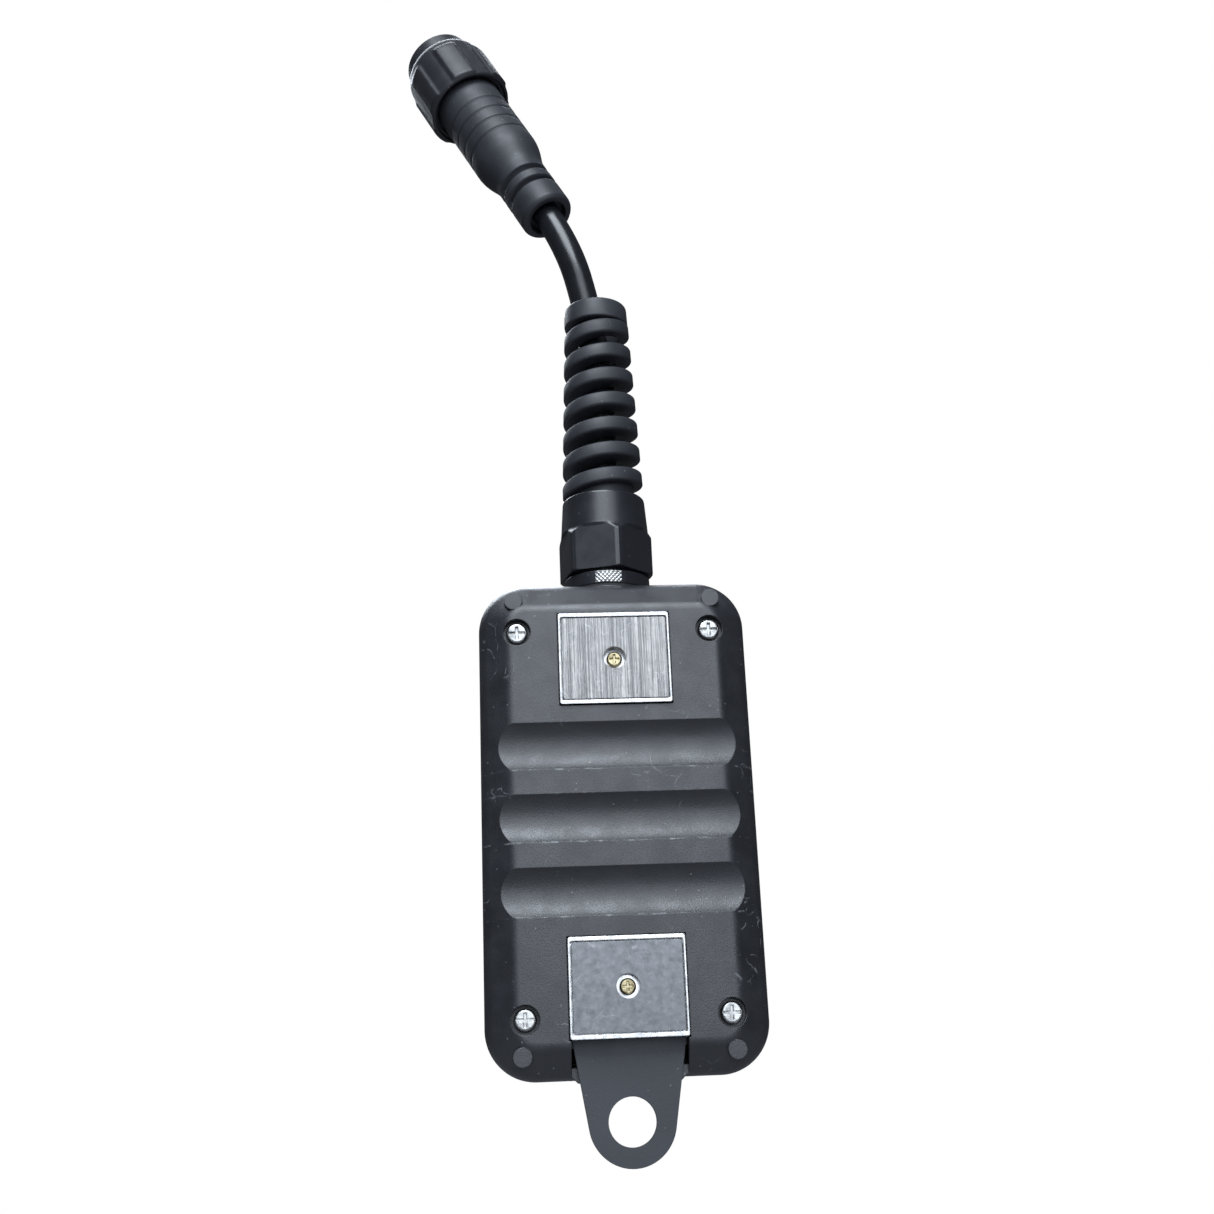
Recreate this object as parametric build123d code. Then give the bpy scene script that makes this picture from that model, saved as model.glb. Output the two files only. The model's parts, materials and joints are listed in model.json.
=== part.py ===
from build123d import *
import math
import os

# Pendant control station: a hand-held push-button case with a magnet-backed rear shell, a cable
# gland with a spiral bend guard, a short cable and an inline plug.
# Millimetres. +Z is up, towards the cable; -Y is the button side; +Y is the back, where the
# magnets are. The origin is the middle of the upper magnet's face. "Depth" is measured from the
# back panel towards the buttons, and "height" from the middle of the case towards the gland.

os.makedirs("parts", exist_ok=True)

# ---- case ---------------------------------------------------------------------------------
CASE_WIDTH = 72.6
CASE_LENGTH = 130.4
SHELL_DEPTH = 33.0          # back panel to parting line
COVER_DEPTH = 6.0           # parting line to front face
WALL = 2.6
CORNER_R = 13.0             # plan radius of the case corners
EDGE_RUN = 8.0              # how far the rounded back edge reaches in over the panel
EDGE_DROP = 5.5            # how far it reaches down the sides
PANEL_CREASE_R = 4.0
SIDE_CREASE_R = 5.0
PANEL_SKIN = 4.6            # back panel thickness, measured at its full-height areas
PLATE_SKIN = 2.8            # front cover plate thickness
TONGUE_WALL = 1.6
TONGUE_HEIGHT = 2.4
TONGUE_GAP = 0.2
COVER_EDGE_R = 3.2
GASKET_WIDTH = 1.2
GASKET_HEIGHT = 0.8
GASKET_INSET = 0.7

# ---- finger grooves and rest pips ---------------------------------------------------------
GROOVE_COUNT = 3
GROOVE_PITCH = 19.0
GROOVE_WIDTH = 12.6
GROOVE_SINK = 2.2
PIP_R = 2.4
PIP_X, PIP_Z = 26.8, 59.2
PIP_SINK = 0.4

# ---- case screws --------------------------------------------------------------------------
SCREW_X, SCREW_Z = 26.0, 50.3
SCREW_R = 1.5
SCREW_HEAD_R = 2.9
SCREW_HEAD_H = 2.1
SCREW_CLEARANCE = 0.2
COUNTERBORE_R = 3.7
COUNTERBORE_SINK = 3.0
BOSS_R = 4.7
INSERT_R = 2.3
INSERT_LENGTH = 4.6

# ---- holding magnets ----------------------------------------------------------------------
MAGNET_WIDTH, MAGNET_HEIGHT = 29.8, 25.0
MAGNET_TALL = 4.0           # cup thickness through the case depth
MAGNET_PROUD = 0.8
MAGNET_Z_UP, MAGNET_Z_LOW = 42.5, -43.0
POCKET_GAP = 0.3
POCKET_FLOOR = 2.0
CUP_FLOOR = 0.8
CUP_LIP, CUP_SIDE = 1.0, 0.5
BLOCK_GAP = 0.3
BLOCK_HOLE_R = 3.0
BLOCK_SINK = 0.25
MAGNET_SCREW_R = 1.25
MAGNET_SCREW_HEAD_R = 2.1
MAGNET_SCREW_HEAD_H = 1.5
MAGNET_INSERT_R = 2.0
MAGNET_INSERT_LENGTH = 4.6
MAGNET_BOSS_R = 3.3

# ---- hang tab -----------------------------------------------------------------------------
TAB_THICK = 2.0
TAB_ROOT_WIDTH = 28.8
TAB_END_R = 10.9
TAB_HOLE_R = 6.0
TAB_HOLE_Z = -75.4
SADDLE_WIDTH = 30.4
SADDLE_PROUD = 0.7
SADDLE_CHAMFER = 2.2

# ---- cable gland --------------------------------------------------------------------------
GLAND_DEPTH = 19.0
GLAND_THREAD_R = 9.9
GLAND_HOLE_R = 10.1
GLAND_SEAT_R = 12.6
GLAND_FLANGE_R = 12.2
GLAND_FLANGE_H = 3.6
GLAND_NECK_R = 10.5
GLAND_BORE_R = 5.2
SEAL_CHAMBER_R = 8.4
SEAL_RING_H = 1.0
LOCKNUT_H = 4.5
LOCKNUT_SEAT = 8.0          # wall thickness under the locknut
LOCKNUT_FLATS = 24.0
LOCKNUT_GAP = 0.05
NUT_FLATS = 24.0
NUT_HEX_H = 12.0
NUT_TURN = 13.0             # how far a corner of the hexagon is turned from the back
NUT_SLEEVE_R, NUT_MOUTH_R = 12.6, 11.8
NUT_SLEEVE_H = 11.4
NUT_BORE_R = 10.8
NUT_LIP_H = 4.2

# ---- spiral bend guard --------------------------------------------------------------------
GUARD_LENGTH = 62.5
GUARD_TURNS = 7
GUARD_BASE_R, GUARD_TIP_R = 11.7, 9.2
GUARD_BAND = 5.0             # height of one turn of the band
GUARD_WALL = 2.5
GUARD_LIFT = 0.6             # first turn above the cap nut's mouth
GUARD_SPIGOT_R = 9.2
GUARD_BORE_R = 5.4
GUARD_TIP_H = 6.5
GUARD_CATCH_R = 10.4
GUARD_CATCH_H = 1.8

# ---- cable and plug -----------------------------------------------------------------------
CABLE_R = 4.25
CORE_R = 0.8
PLUG_OUT, PLUG_BACK, PLUG_RISE = 13.2, 3.4, 96.8   # boot's end face from the gland's mouth: +X, -Y, +Z
PLUG_LEAN = 25.0                    # degrees from upright towards +X
PLUG_DROOP = 16.0                   # degrees towards the button side
BOOT_ENTRY_R, BOOT_ENTRY_SINK = 6.0, 3.0
BOOT_TAIL_R, BOOT_BARREL_R = 8.4, 10.8
BOOT_TAIL_H, BOOT_LENGTH = 21.0, 61.4
BOOT_SLOT_W = 2.2
PLUG_SHELL_R, PLUG_NECK_R = 11.3, 11.0
PLUG_FLANGE_R = 12.0
PLUG_LENGTH = 86.0
PLUG_SOCKET_R = 9.4
COUPLING_R = 14.3
COUPLING_START, COUPLING_END = 58.4, 80.0
COUPLING_LOBES = 6
CONTACT_COUNT = 6
CONTACT_RING_R = 5.2
CONTACT_R = 0.8

# ---- buttons ------------------------------------------------------------------------------
BUTTON_X = 14.0
BUTTON_TOP_Z = 5.0
BUTTON_PITCH = 22.0
BUTTON_ROWS = (("raise", "lower"), ("left", "right"), ("forward", "reverse"))
BUTTON_TRAVEL = 3.0
BEZEL_R, BEZEL_H = 9.5, 2.0
BARREL_R = 8.0
PANEL_GAP = 0.2
SEAL_H = 0.8
CAP_R = 6.3
CAP_GAP = 0.3
CAP_PROUD = 3.0
STEM_R = 3.0
RUNNING = 0.05
STOP_GAP = 0.3
BARREL_FLOOR_SINK, BARREL_FLOOR_H = 9.0, 2.0
BUTTON_NUT_FLATS, BUTTON_NUT_H = 19.0, 3.0
BLOCK_WIDTH = 15.0
SPRING_WIRE_R = 0.45

# ---- emergency stop -----------------------------------------------------------------------
STOP_Z = 34.0
STOP_TRAVEL = 4.0
STOP_PLATE_R = 16.5
STOP_FLANGE_R, STOP_FLANGE_H = 14.5, 4.0
STOP_BARREL_R, STOP_BORE_R = 11.0, 9.0
STOP_HEAD_R, STOP_HEAD_H = 16.0, 7.5
STOP_NECK_R = 8.0
STOP_SHAFT_R = 4.0
STOP_SPRING_H = 9.0
STOP_NUT_FLATS, STOP_NUT_H = 27.0, 4.0
STOP_BLOCK_WIDTH, STOP_BLOCK_HEIGHT = 24.0, 20.0

# ---- pilot lamps, circuit board and terminals ----------------------------------------------
LAMP_X, LAMP_Z = 25.0, 22.0
LENS_R = 2.5
BOARD_WIDTH, BOARD_LENGTH, BOARD_THICK = 60.0, 88.0, 1.6
BOARD_DEPTH = 14.4
BOARD_Z = -0.5
SPACER_X, SPACER_ZS, SPACER_R = 27.0, (14.0, -27.0), 2.4
TERMINAL_WIDTH, TERMINAL_HEIGHT, TERMINAL_TALL = 26.0, 9.0, 7.6
TERMINAL_Z = 20.0
CORE_XS = (-9.6, -4.8, 4.8, 9.6)

# ---- worked out ---------------------------------------------------------------------------
BACK_Y = -MAGNET_PROUD
MIDDLE_Z = -MAGNET_Z_UP
FRONT_DEPTH = SHELL_DEPTH + COVER_DEPTH
PLATE_BACK = FRONT_DEPTH - PLATE_SKIN
HALF_LENGTH = CASE_LENGTH / 2
BOARD_FRONT = BOARD_DEPTH + BOARD_THICK
POCKET_UP = MAGNET_TALL - MAGNET_PROUD
POCKET_LOW = POCKET_UP + TAB_THICK
SEAT_Z = HALF_LENGTH                     # gland sealing face on the case
FLANGE_Z = SEAT_Z + SEAL_RING_H
NECK_Z = FLANGE_Z + GLAND_FLANGE_H
HEX_Z = NECK_Z + 1.0
SLEEVE_Z = HEX_Z + NUT_HEX_H
MOUTH_Z = SLEEVE_Z + NUT_SLEEVE_H        # mouth of the cap nut, where the cable leaves
PLUG_START = (PLUG_OUT, BACK_Y - GLAND_DEPTH - PLUG_BACK, MIDDLE_Z + MOUTH_Z + PLUG_RISE)
THREAD_END_Z = SEAT_Z - LOCKNUT_SEAT - LOCKNUT_H - 1.0
SCREW_PLACES = [(sx * SCREW_X, sz * SCREW_Z) for sx in (-1, 1) for sz in (-1, 1)]


# ---- helpers ------------------------------------------------------------------------------
def face_plane(depth):
    """Plane parallel to the back panel, its normal pointing to the buttons."""
    return Plane(origin=(0, BACK_Y - depth, MIDDLE_Z), x_dir=(1, 0, 0), z_dir=(0, -1, 0))


def slab(sketch, start, end):
    """A flat outline carried from one depth to another."""
    return extrude(face_plane(start) * sketch, end - start)


def disc(x, z, radius, start, end):
    return slab(Pos(x, z) * Circle(radius), start, end)


def gland_place(turn=0.0):
    """The gland's axis, with local z as height above the case middle."""
    return Location((0, BACK_Y - GLAND_DEPTH, MIDDLE_Z), (0, 0, turn))


def panel_place(x, z):
    """A spot on the front face, with local z pointing out of the face."""
    return Location(Plane(origin=(x, BACK_Y - FRONT_DEPTH, MIDDLE_Z + z),
                          x_dir=(1, 0, 0), z_dir=(0, -1, 0)))


def turned(outline):
    """A solid of revolution about local z, from (radius, height) corners."""
    return revolve(Plane.XZ * make_face(Polyline(*outline, close=True)), Axis.Z)


def tube(inner, outer, start, end):
    return turned([(inner, start), (outer, start), (outer, end), (inner, end)])


def rod(radius, start, end):
    return Pos(0, 0, start) * Cylinder(radius, end - start, align=(Align.CENTER, Align.CENTER, Align.MIN))


def hexagon_ring(flats, inner, start, end):
    ring = RegularPolygon(flats / 2, 6, major_radius=False) - Circle(inner)
    return extrude(Plane((0, 0, start)) * ring, end - start)


def coil_spring(radius, wire, start, end, turns):
    """A round-wire helix between two end faces."""
    rise = end - start - 2 * wire
    path = Helix(pitch=rise / turns, height=rise, radius=radius)
    section = Plane(origin=path @ 0, z_dir=path % 0) * Circle(wire)
    return Pos(0, 0, start + wire) * sweep(section, path=path, is_frenet=True)


def save(shape, node):
    export_step(shape, "parts/%s.step" % node)


def group(shapes):
    return Compound(children=list(shapes))


# ---- rear shell ---------------------------------------------------------------------------
def case_outline(inset):
    return RectangleRounded(CASE_WIDTH - 2 * inset, CASE_LENGTH - 2 * inset, CORNER_R - inset)


def tray(inset, top):
    """The shell's form inside a given inset: straight sides, then a sloped back edge."""
    slope = EDGE_RUN * (EDGE_DROP - top) / EDGE_DROP
    sides = slab(case_outline(inset), EDGE_DROP, SHELL_DEPTH)
    crown = loft([face_plane(top) * case_outline(inset + slope),
                  face_plane(EDGE_DROP) * case_outline(inset)])
    return sides + crown


def rounded_tray():
    """The outside form with its two creases rounded."""
    form = tray(0, 0)
    form = fillet(form.edges().group_by(Axis.Y)[-1], PANEL_CREASE_R)
    level = BACK_Y - EDGE_DROP
    crease = form.edges().filter_by_position(Axis.Y, level - 0.01, level + 0.01)
    return fillet(crease, SIDE_CREASE_R)


def groove_cuts():
    """Cylinders lying across the back, one for each finger."""
    radius = (GROOVE_WIDTH ** 2 / 4 + GROOVE_SINK ** 2) / (2 * GROOVE_SINK)
    cuts = []
    for k in range(GROOVE_COUNT):
        z = ((GROOVE_COUNT - 1) / 2 - k) * GROOVE_PITCH
        place = Location((0, BACK_Y + radius - GROOVE_SINK, MIDDLE_Z + z), (0, 90, 0))
        cuts.append(place * Cylinder(radius, CASE_WIDTH + 10))
    return cuts


def tab_channel(gap):
    """Where the tab lies: from the lower pocket out over the end of the case."""
    top = MAGNET_Z_LOW - MAGNET_HEIGHT / 2 + 1
    end = -HALF_LENGTH - 10
    return Pos(0, (top + end) / 2) * Rectangle(TAB_ROOT_WIDTH + 2 * gap, top - end)


def saddle():
    """Block that carries the tab over the rounded end of the case."""
    half, low = SADDLE_WIDTH / 2, -HALF_LENGTH - SADDLE_PROUD
    high = MAGNET_Z_LOW - MAGNET_HEIGHT / 2
    corners = [(-half, high), (half, high), (half, low + SADDLE_CHAMFER),
               (half - SADDLE_CHAMFER, low), (SADDLE_CHAMFER - half, low), (-half, low + SADDLE_CHAMFER)]
    return slab(make_face(Polyline(*corners, close=True)), POCKET_LOW, EDGE_DROP + 4)


def magnet_pad(z, pocket):
    """Local thickening under a magnet pocket, with a boss for its insert."""
    plate = Pos(0, z) * Rectangle(MAGNET_WIDTH + 4, MAGNET_HEIGHT + 4)
    floor = pocket + POCKET_FLOOR
    return slab(plate, PANEL_SKIN - 1.5, floor) + disc(0, z, MAGNET_BOSS_R, pocket, floor + 5)


def magnet_pocket(z, pocket):
    hole = Pos(0, z) * Rectangle(MAGNET_WIDTH + 2 * POCKET_GAP, MAGNET_HEIGHT + 2 * POCKET_GAP)
    floor = pocket + POCKET_FLOOR
    shank = disc(0, z, MAGNET_SCREW_R + SCREW_CLEARANCE, pocket - 1, floor + 1)
    return slab(hole, -2, pocket) + shank + disc(0, z, MAGNET_INSERT_R, floor, floor + 6)


def gland_seats():
    """Round seat outside the end wall, and a square one inside for the locknut."""
    outside = gland_place() * rod(GLAND_SEAT_R, SEAT_Z - EDGE_RUN, SEAT_Z)
    width = LOCKNUT_FLATS + 5
    inside = Pos(0, SEAT_Z - LOCKNUT_SEAT / 2) * Rectangle(width, LOCKNUT_SEAT)
    return outside, slab(inside, PANEL_SKIN, SHELL_DEPTH - TONGUE_HEIGHT - 0.6)


def rear_shell():
    form = rounded_tray()
    outside, inside = gland_seats()
    pips = [disc(x, z, PIP_R, PIP_SINK, EDGE_DROP - 2) for x in (-PIP_X, PIP_X) for z in (-PIP_Z, PIP_Z)]
    shell = form + pips + saddle() + outside - tray(WALL, PANEL_SKIN)
    bosses = [disc(x, z, BOSS_R, COUNTERBORE_SINK - 1, SHELL_DEPTH) for x, z in SCREW_PLACES]
    pads = [magnet_pad(MAGNET_Z_UP, POCKET_UP), magnet_pad(MAGNET_Z_LOW, POCKET_LOW), inside]
    shell += [form & extra for extra in bosses + pads]
    for x, z in SCREW_PLACES:
        shell -= disc(x, z, COUNTERBORE_R, -2, COUNTERBORE_SINK)
        shell -= disc(x, z, SCREW_R + SCREW_CLEARANCE, 0, SHELL_DEPTH + 1)
    shell -= groove_cuts()
    shell -= magnet_pocket(MAGNET_Z_UP, POCKET_UP) + magnet_pocket(MAGNET_Z_LOW, POCKET_LOW)
    shell -= slab(tab_channel(POCKET_GAP), -2, POCKET_LOW)
    return shell - gland_place() * rod(GLAND_HOLE_R, SEAT_Z - 2 * LOCKNUT_SEAT, SEAT_Z + 2)


# ---- front cover --------------------------------------------------------------------------
def button_places():
    """(name, x, z) of every push button, two to a row."""
    places = []
    for row, names in enumerate(BUTTON_ROWS):
        z = BUTTON_TOP_Z - row * BUTTON_PITCH
        places += [(names[0], -BUTTON_X, z), (names[1], BUTTON_X, z)]
    return places


def gasket_ring(inset, width):
    return case_outline(inset) - case_outline(inset + width)


def button_fence():
    """Low raised rim round the push buttons, on the front face."""
    rows = len(BUTTON_ROWS) - 1
    width, length = 2 * (BUTTON_X + BEZEL_R + 4), rows * BUTTON_PITCH + 2 * (BEZEL_R + 2.5)
    ring = RectangleRounded(width, length, BEZEL_R + 2) - RectangleRounded(width - 4, length - 4, BEZEL_R)
    ring = Pos(0, BUTTON_TOP_Z - rows * BUTTON_PITCH / 2) * ring
    return slab(ring, FRONT_DEPTH - 0.5, FRONT_DEPTH + 1.4)


def front_cover():
    plate = slab(case_outline(0), SHELL_DEPTH, FRONT_DEPTH)
    plate = fillet(plate.edges().group_by(Axis.Y)[0], COVER_EDGE_R)
    tongue_in = WALL + TONGUE_GAP
    hollow_in = tongue_in + TONGUE_WALL
    cover = plate - slab(case_outline(hollow_in), SHELL_DEPTH - 1, PLATE_BACK)
    cover += slab(gasket_ring(tongue_in, TONGUE_WALL), SHELL_DEPTH - TONGUE_HEIGHT, SHELL_DEPTH + 1)
    cover -= slab(gasket_ring(GASKET_INSET, GASKET_WIDTH), SHELL_DEPTH, SHELL_DEPTH + GASKET_HEIGHT)
    cover += button_fence()
    for x, z in SCREW_PLACES:
        cover += disc(x, z, BOSS_R, SHELL_DEPTH, PLATE_BACK + 0.5)
        cover -= disc(x, z, INSERT_R, SHELL_DEPTH, SHELL_DEPTH + INSERT_LENGTH)
    for _, x, z in button_places():
        cover -= disc(x, z, BARREL_R + PANEL_GAP, PLATE_BACK - 1, FRONT_DEPTH + 1)
    cover -= disc(0, STOP_Z, STOP_BARREL_R + PANEL_GAP, PLATE_BACK - 1, FRONT_DEPTH + 1)
    for x in (-LAMP_X, LAMP_X):
        cover -= disc(x, LAMP_Z, LENS_R + RUNNING, PLATE_BACK - 1, FRONT_DEPTH + 1)
    return cover


def case_gasket():
    return slab(gasket_ring(GASKET_INSET, GASKET_WIDTH), SHELL_DEPTH, SHELL_DEPTH + GASKET_HEIGHT)


def case_screw(x, z):
    """Pan-head screw with a combined slot and cross recess, through the shell into the cover."""
    head_end = COUNTERBORE_SINK
    head = disc(x, z, SCREW_HEAD_R, head_end - SCREW_HEAD_H, head_end)
    head = fillet(head.edges().group_by(Axis.Y)[-1], 0.8)
    for size in ((4.6, 0.8), (0.8, 3.6)):
        head -= slab(Pos(x, z) * Rectangle(*size), head_end - SCREW_HEAD_H - 1, head_end - 1.0)
    return head + disc(x, z, SCREW_R, head_end, SHELL_DEPTH + INSERT_LENGTH - 0.4)


def cover_insert(x, z):
    sleeve = disc(x, z, INSERT_R, SHELL_DEPTH, SHELL_DEPTH + INSERT_LENGTH)
    return sleeve - disc(x, z, SCREW_R, SHELL_DEPTH - 1, SHELL_DEPTH + INSERT_LENGTH + 1)


# ---- magnets and hang tab -----------------------------------------------------------------
def magnet_cup(z, base):
    """Steel tray with thick lips at top and bottom; base is the depth of its underside."""
    top = base - MAGNET_TALL
    outer = RectangleRounded(MAGNET_WIDTH, MAGNET_HEIGHT, 0.6)
    inner = RectangleRounded(MAGNET_WIDTH - 2 * CUP_SIDE, MAGNET_HEIGHT - 2 * CUP_LIP, 0.5)
    cup = slab(Pos(0, z) * outer, top, base) - slab(Pos(0, z) * inner, top - 1, base - CUP_FLOOR)
    return cup - disc(0, z, MAGNET_SCREW_R + SCREW_CLEARANCE, top - 1, base + 1)


def magnet_block(z, base):
    """The magnet itself, a little below the cup's lips, with a stepped hole for its screw."""
    width = MAGNET_WIDTH - 2 * (CUP_SIDE + BLOCK_GAP)
    height = MAGNET_HEIGHT - 2 * (CUP_LIP + BLOCK_GAP)
    top, low = base - MAGNET_TALL + BLOCK_SINK, base - CUP_FLOOR
    block = slab(Pos(0, z) * RectangleRounded(width, height, 0.8), top, low)
    return block - disc(0, z, BLOCK_HOLE_R, top - 1, low + 1)


def magnet_screw(z, base, floor):
    """Small cross-recessed screw on the cup floor, into the insert below the pocket."""
    seat = base - CUP_FLOOR
    head = disc(0, z, MAGNET_SCREW_HEAD_R, seat - MAGNET_SCREW_HEAD_H, seat)
    head = fillet(head.edges().group_by(Axis.Y)[-1], 0.6)
    for size in ((2.6, 0.6), (0.6, 2.6)):
        head -= slab(Pos(0, z) * Rectangle(*size), seat - MAGNET_SCREW_HEAD_H - 1, seat - 0.7)
    return head + disc(0, z, MAGNET_SCREW_R, seat, floor + MAGNET_INSERT_LENGTH - 0.3)


def magnet_insert(z, floor):
    end = floor + MAGNET_INSERT_LENGTH
    return disc(0, z, MAGNET_INSERT_R, floor, end) - disc(0, z, MAGNET_SCREW_R, floor - 1, end + 1)


def hang_tab():
    """Flat strap clamped under the lower magnet, tapering to a round end with a hole."""
    half, top = TAB_ROOT_WIDTH / 2, MAGNET_Z_LOW + MAGNET_HEIGHT / 2 - 0.5
    shoulder = MAGNET_Z_LOW - MAGNET_HEIGHT / 2
    drop = shoulder - TAB_HOLE_Z
    reach = math.hypot(half, drop)
    turn = math.atan2(drop, half) - math.acos(TAB_END_R / reach)
    touch = (TAB_END_R * math.cos(turn), TAB_HOLE_Z + TAB_END_R * math.sin(turn))
    corners = [(-half, top), (half, top), (half, shoulder), touch, (-touch[0], touch[1]), (-half, shoulder)]
    outline = make_face(Polyline(*corners, close=True)) + Pos(0, TAB_HOLE_Z) * Circle(TAB_END_R)
    outline -= Pos(0, TAB_HOLE_Z) * Circle(TAB_HOLE_R)
    outline -= Pos(0, MAGNET_Z_LOW) * Circle(MAGNET_SCREW_R + SCREW_CLEARANCE)
    return slab(outline, POCKET_UP, POCKET_LOW)


# ---- cable gland --------------------------------------------------------------------------
def gland_body():
    outline = [(GLAND_BORE_R, THREAD_END_Z), (GLAND_THREAD_R, THREAD_END_Z), (GLAND_THREAD_R, FLANGE_Z),
               (GLAND_FLANGE_R, FLANGE_Z), (GLAND_FLANGE_R, NECK_Z), (GLAND_NECK_R, NECK_Z),
               (GLAND_NECK_R, SLEEVE_Z), (SEAL_CHAMBER_R, SLEEVE_Z), (SEAL_CHAMBER_R, HEX_Z + 3),
               (GLAND_BORE_R, HEX_Z + 3)]
    return gland_place() * turned(outline)


def gland_seal_ring():
    return gland_place() * tube(GLAND_HOLE_R, GLAND_FLANGE_R - 0.2, SEAT_Z, FLANGE_Z)


def gland_locknut():
    seat = SEAT_Z - LOCKNUT_SEAT - LOCKNUT_GAP
    return gland_place() * hexagon_ring(LOCKNUT_FLATS, GLAND_THREAD_R, seat - LOCKNUT_H, seat)


def gland_seal():
    """Rubber bush that grips the cable's sheath."""
    return gland_place() * tube(CABLE_R, SEAL_CHAMBER_R - 0.1, HEX_Z + 3, SLEEVE_Z + 2.5)


def gland_claw():
    """Slotted ring that closes on the bush when the cap nut is tightened."""
    inner, outer = SEAL_CHAMBER_R + 0.1, NUT_BORE_R - 0.3
    start, end = SLEEVE_Z + 0.1, MOUTH_Z - NUT_LIP_H - GUARD_CATCH_H - 0.1
    claw = tube(inner, outer, start, end)
    for k in range(8):
        slot = Pos((inner + outer) / 2, 0, end) * Box(outer, 0.9, 2 * (end - start) - 4)
        claw -= Rot(0, 0, 45 * k) * slot
    return gland_place() * claw


def gland_cap_nut():
    """Hexagon with a domed shoulder, then a tapered sleeve with a lip round the bend guard."""
    corner_r = NUT_FLATS / math.sqrt(3)
    prism = extrude(Plane((0, 0, HEX_Z)) * RegularPolygon(corner_r, 6), NUT_HEX_H + 3)
    crown = turned([(0, HEX_Z), (corner_r - 0.6, HEX_Z), (corner_r + 0.1, HEX_Z + 0.6),
                    (corner_r + 0.1, SLEEVE_Z - 1.2), (NUT_SLEEVE_R - 0.2, SLEEVE_Z + 1.2), (0, SLEEVE_Z + 1.2)])
    sleeve = turned([(0, SLEEVE_Z), (NUT_SLEEVE_R, SLEEVE_Z), (NUT_MOUTH_R, MOUTH_Z - 0.6),
                     (NUT_MOUTH_R - 0.6, MOUTH_Z), (0, MOUTH_Z)])
    lip_z = MOUTH_Z - NUT_LIP_H
    hollow = turned([(0, HEX_Z - 1), (NUT_BORE_R, HEX_Z - 1), (NUT_BORE_R, lip_z),
                     (GUARD_SPIGOT_R + 0.1, lip_z), (GUARD_SPIGOT_R + 0.1, MOUTH_Z + 1), (0, MOUTH_Z + 1)])
    return gland_place(90 + NUT_TURN) * ((prism & crown) + sleeve - hollow)


def guard_band():
    """One band wound round a cone, from the cap nut's mouth up into the tip ring."""
    low, high = GUARD_BASE_R - GUARD_WALL / 2, GUARD_TIP_R - GUARD_WALL / 2
    start = MOUTH_Z + GUARD_BAND / 2 + GUARD_LIFT
    rise = MOUTH_Z + GUARD_LENGTH - GUARD_TIP_H + 1.5 - start
    cone = -math.degrees(math.atan((low - high) / rise))
    path = Helix(pitch=rise / GUARD_TURNS, height=rise, radius=low, cone_angle=cone)
    out = Vector((path @ 0).X, (path @ 0).Y, 0)
    section = Plane(origin=path @ 0, z_dir=path % 0, x_dir=out) * RectangleRounded(GUARD_WALL, GUARD_BAND, 1.0)
    return Pos(0, 0, start) * sweep(section, path=path, is_frenet=True)


def guard_tip():
    """Plain ring with a rounded rim that ends the band."""
    inner, tip_z = GUARD_TIP_R - GUARD_WALL / 2 - 0.9, MOUTH_Z + GUARD_LENGTH - GUARD_TIP_H
    return turned([(inner, tip_z), (GUARD_TIP_R, tip_z), (GUARD_TIP_R, tip_z + 4), (GUARD_TIP_R - 0.7, tip_z + 5.6),
                   (GUARD_TIP_R - 1.9, tip_z + GUARD_TIP_H), (inner + 0.1, tip_z + GUARD_TIP_H),
                   (inner, tip_z + 5)])


def bend_guard():
    """Spigot held in the cap nut, a helical band that narrows upwards, and a plain tip ring."""
    catch_z = MOUTH_Z - NUT_LIP_H - GUARD_CATCH_H
    base = turned([(GLAND_BORE_R, catch_z), (GUARD_CATCH_R, catch_z), (GUARD_CATCH_R, catch_z + GUARD_CATCH_H),
                   (GUARD_SPIGOT_R, catch_z + GUARD_CATCH_H), (GUARD_SPIGOT_R, MOUTH_Z + 0.4),
                   (GUARD_SPIGOT_R + 0.6, MOUTH_Z + 1), (GUARD_SPIGOT_R + 0.6, MOUTH_Z + 4),
                   (GUARD_SPIGOT_R - 1.4, MOUTH_Z + 5), (GUARD_BORE_R, MOUTH_Z + 5)])
    return gland_place() * (base + guard_band() + guard_tip())


# ---- cable --------------------------------------------------------------------------------
def plug_axis():
    lean, droop = math.radians(PLUG_LEAN), math.radians(PLUG_DROOP)
    return Vector(math.sin(lean) * math.cos(droop), -math.sin(droop), math.cos(lean) * math.cos(droop))


def plug_place():
    """The plug's axis, with local z running from the boot's end towards the nose."""
    return Location(Plane(origin=PLUG_START, z_dir=plug_axis(), x_dir=(0, 1, 0)))


def cable_route():
    """Control points of the free cable, from the cap nut's mouth to the boot."""
    y, z = BACK_Y - GLAND_DEPTH, MIDDLE_Z + MOUTH_Z
    end = Vector(*PLUG_START) + plug_axis() * BOOT_ENTRY_SINK
    before = end - plug_axis() * 17
    return [Vector(0, y, z), Vector(0, y, z + 20.5), Vector(0.2, y - 0.1, z + 42),
            Vector(2.1, y - 0.5, z + 61.5), before, end]


def cable():
    """Round cable along straight runs joined by tangent arcs."""
    points = cable_route()
    radii = []
    for a, b, c in zip(points, points[1:], points[2:]):
        run = min((b - a).length, (c - b).length)
        turn = math.radians((b - a).get_angle(c - b))
        radii.append(0.45 * run / math.tan(turn / 2))
    print("cable arc radii", [round(r, 1) for r in radii])
    path = FilletPolyline(*points, radius=radii)
    section = Plane(origin=path @ 0, z_dir=path % 0) * Circle(CABLE_R)
    body = sweep(section, path=path)
    print("cable length %.2f, volume ratio %.4f" % (path.length, body.volume / path.length / math.pi / CABLE_R ** 2))
    return body


def cable_tail():
    """The sheathed end held in the gland."""
    return gland_place() * rod(CABLE_R, THREAD_END_Z, MOUTH_Z)


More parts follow.
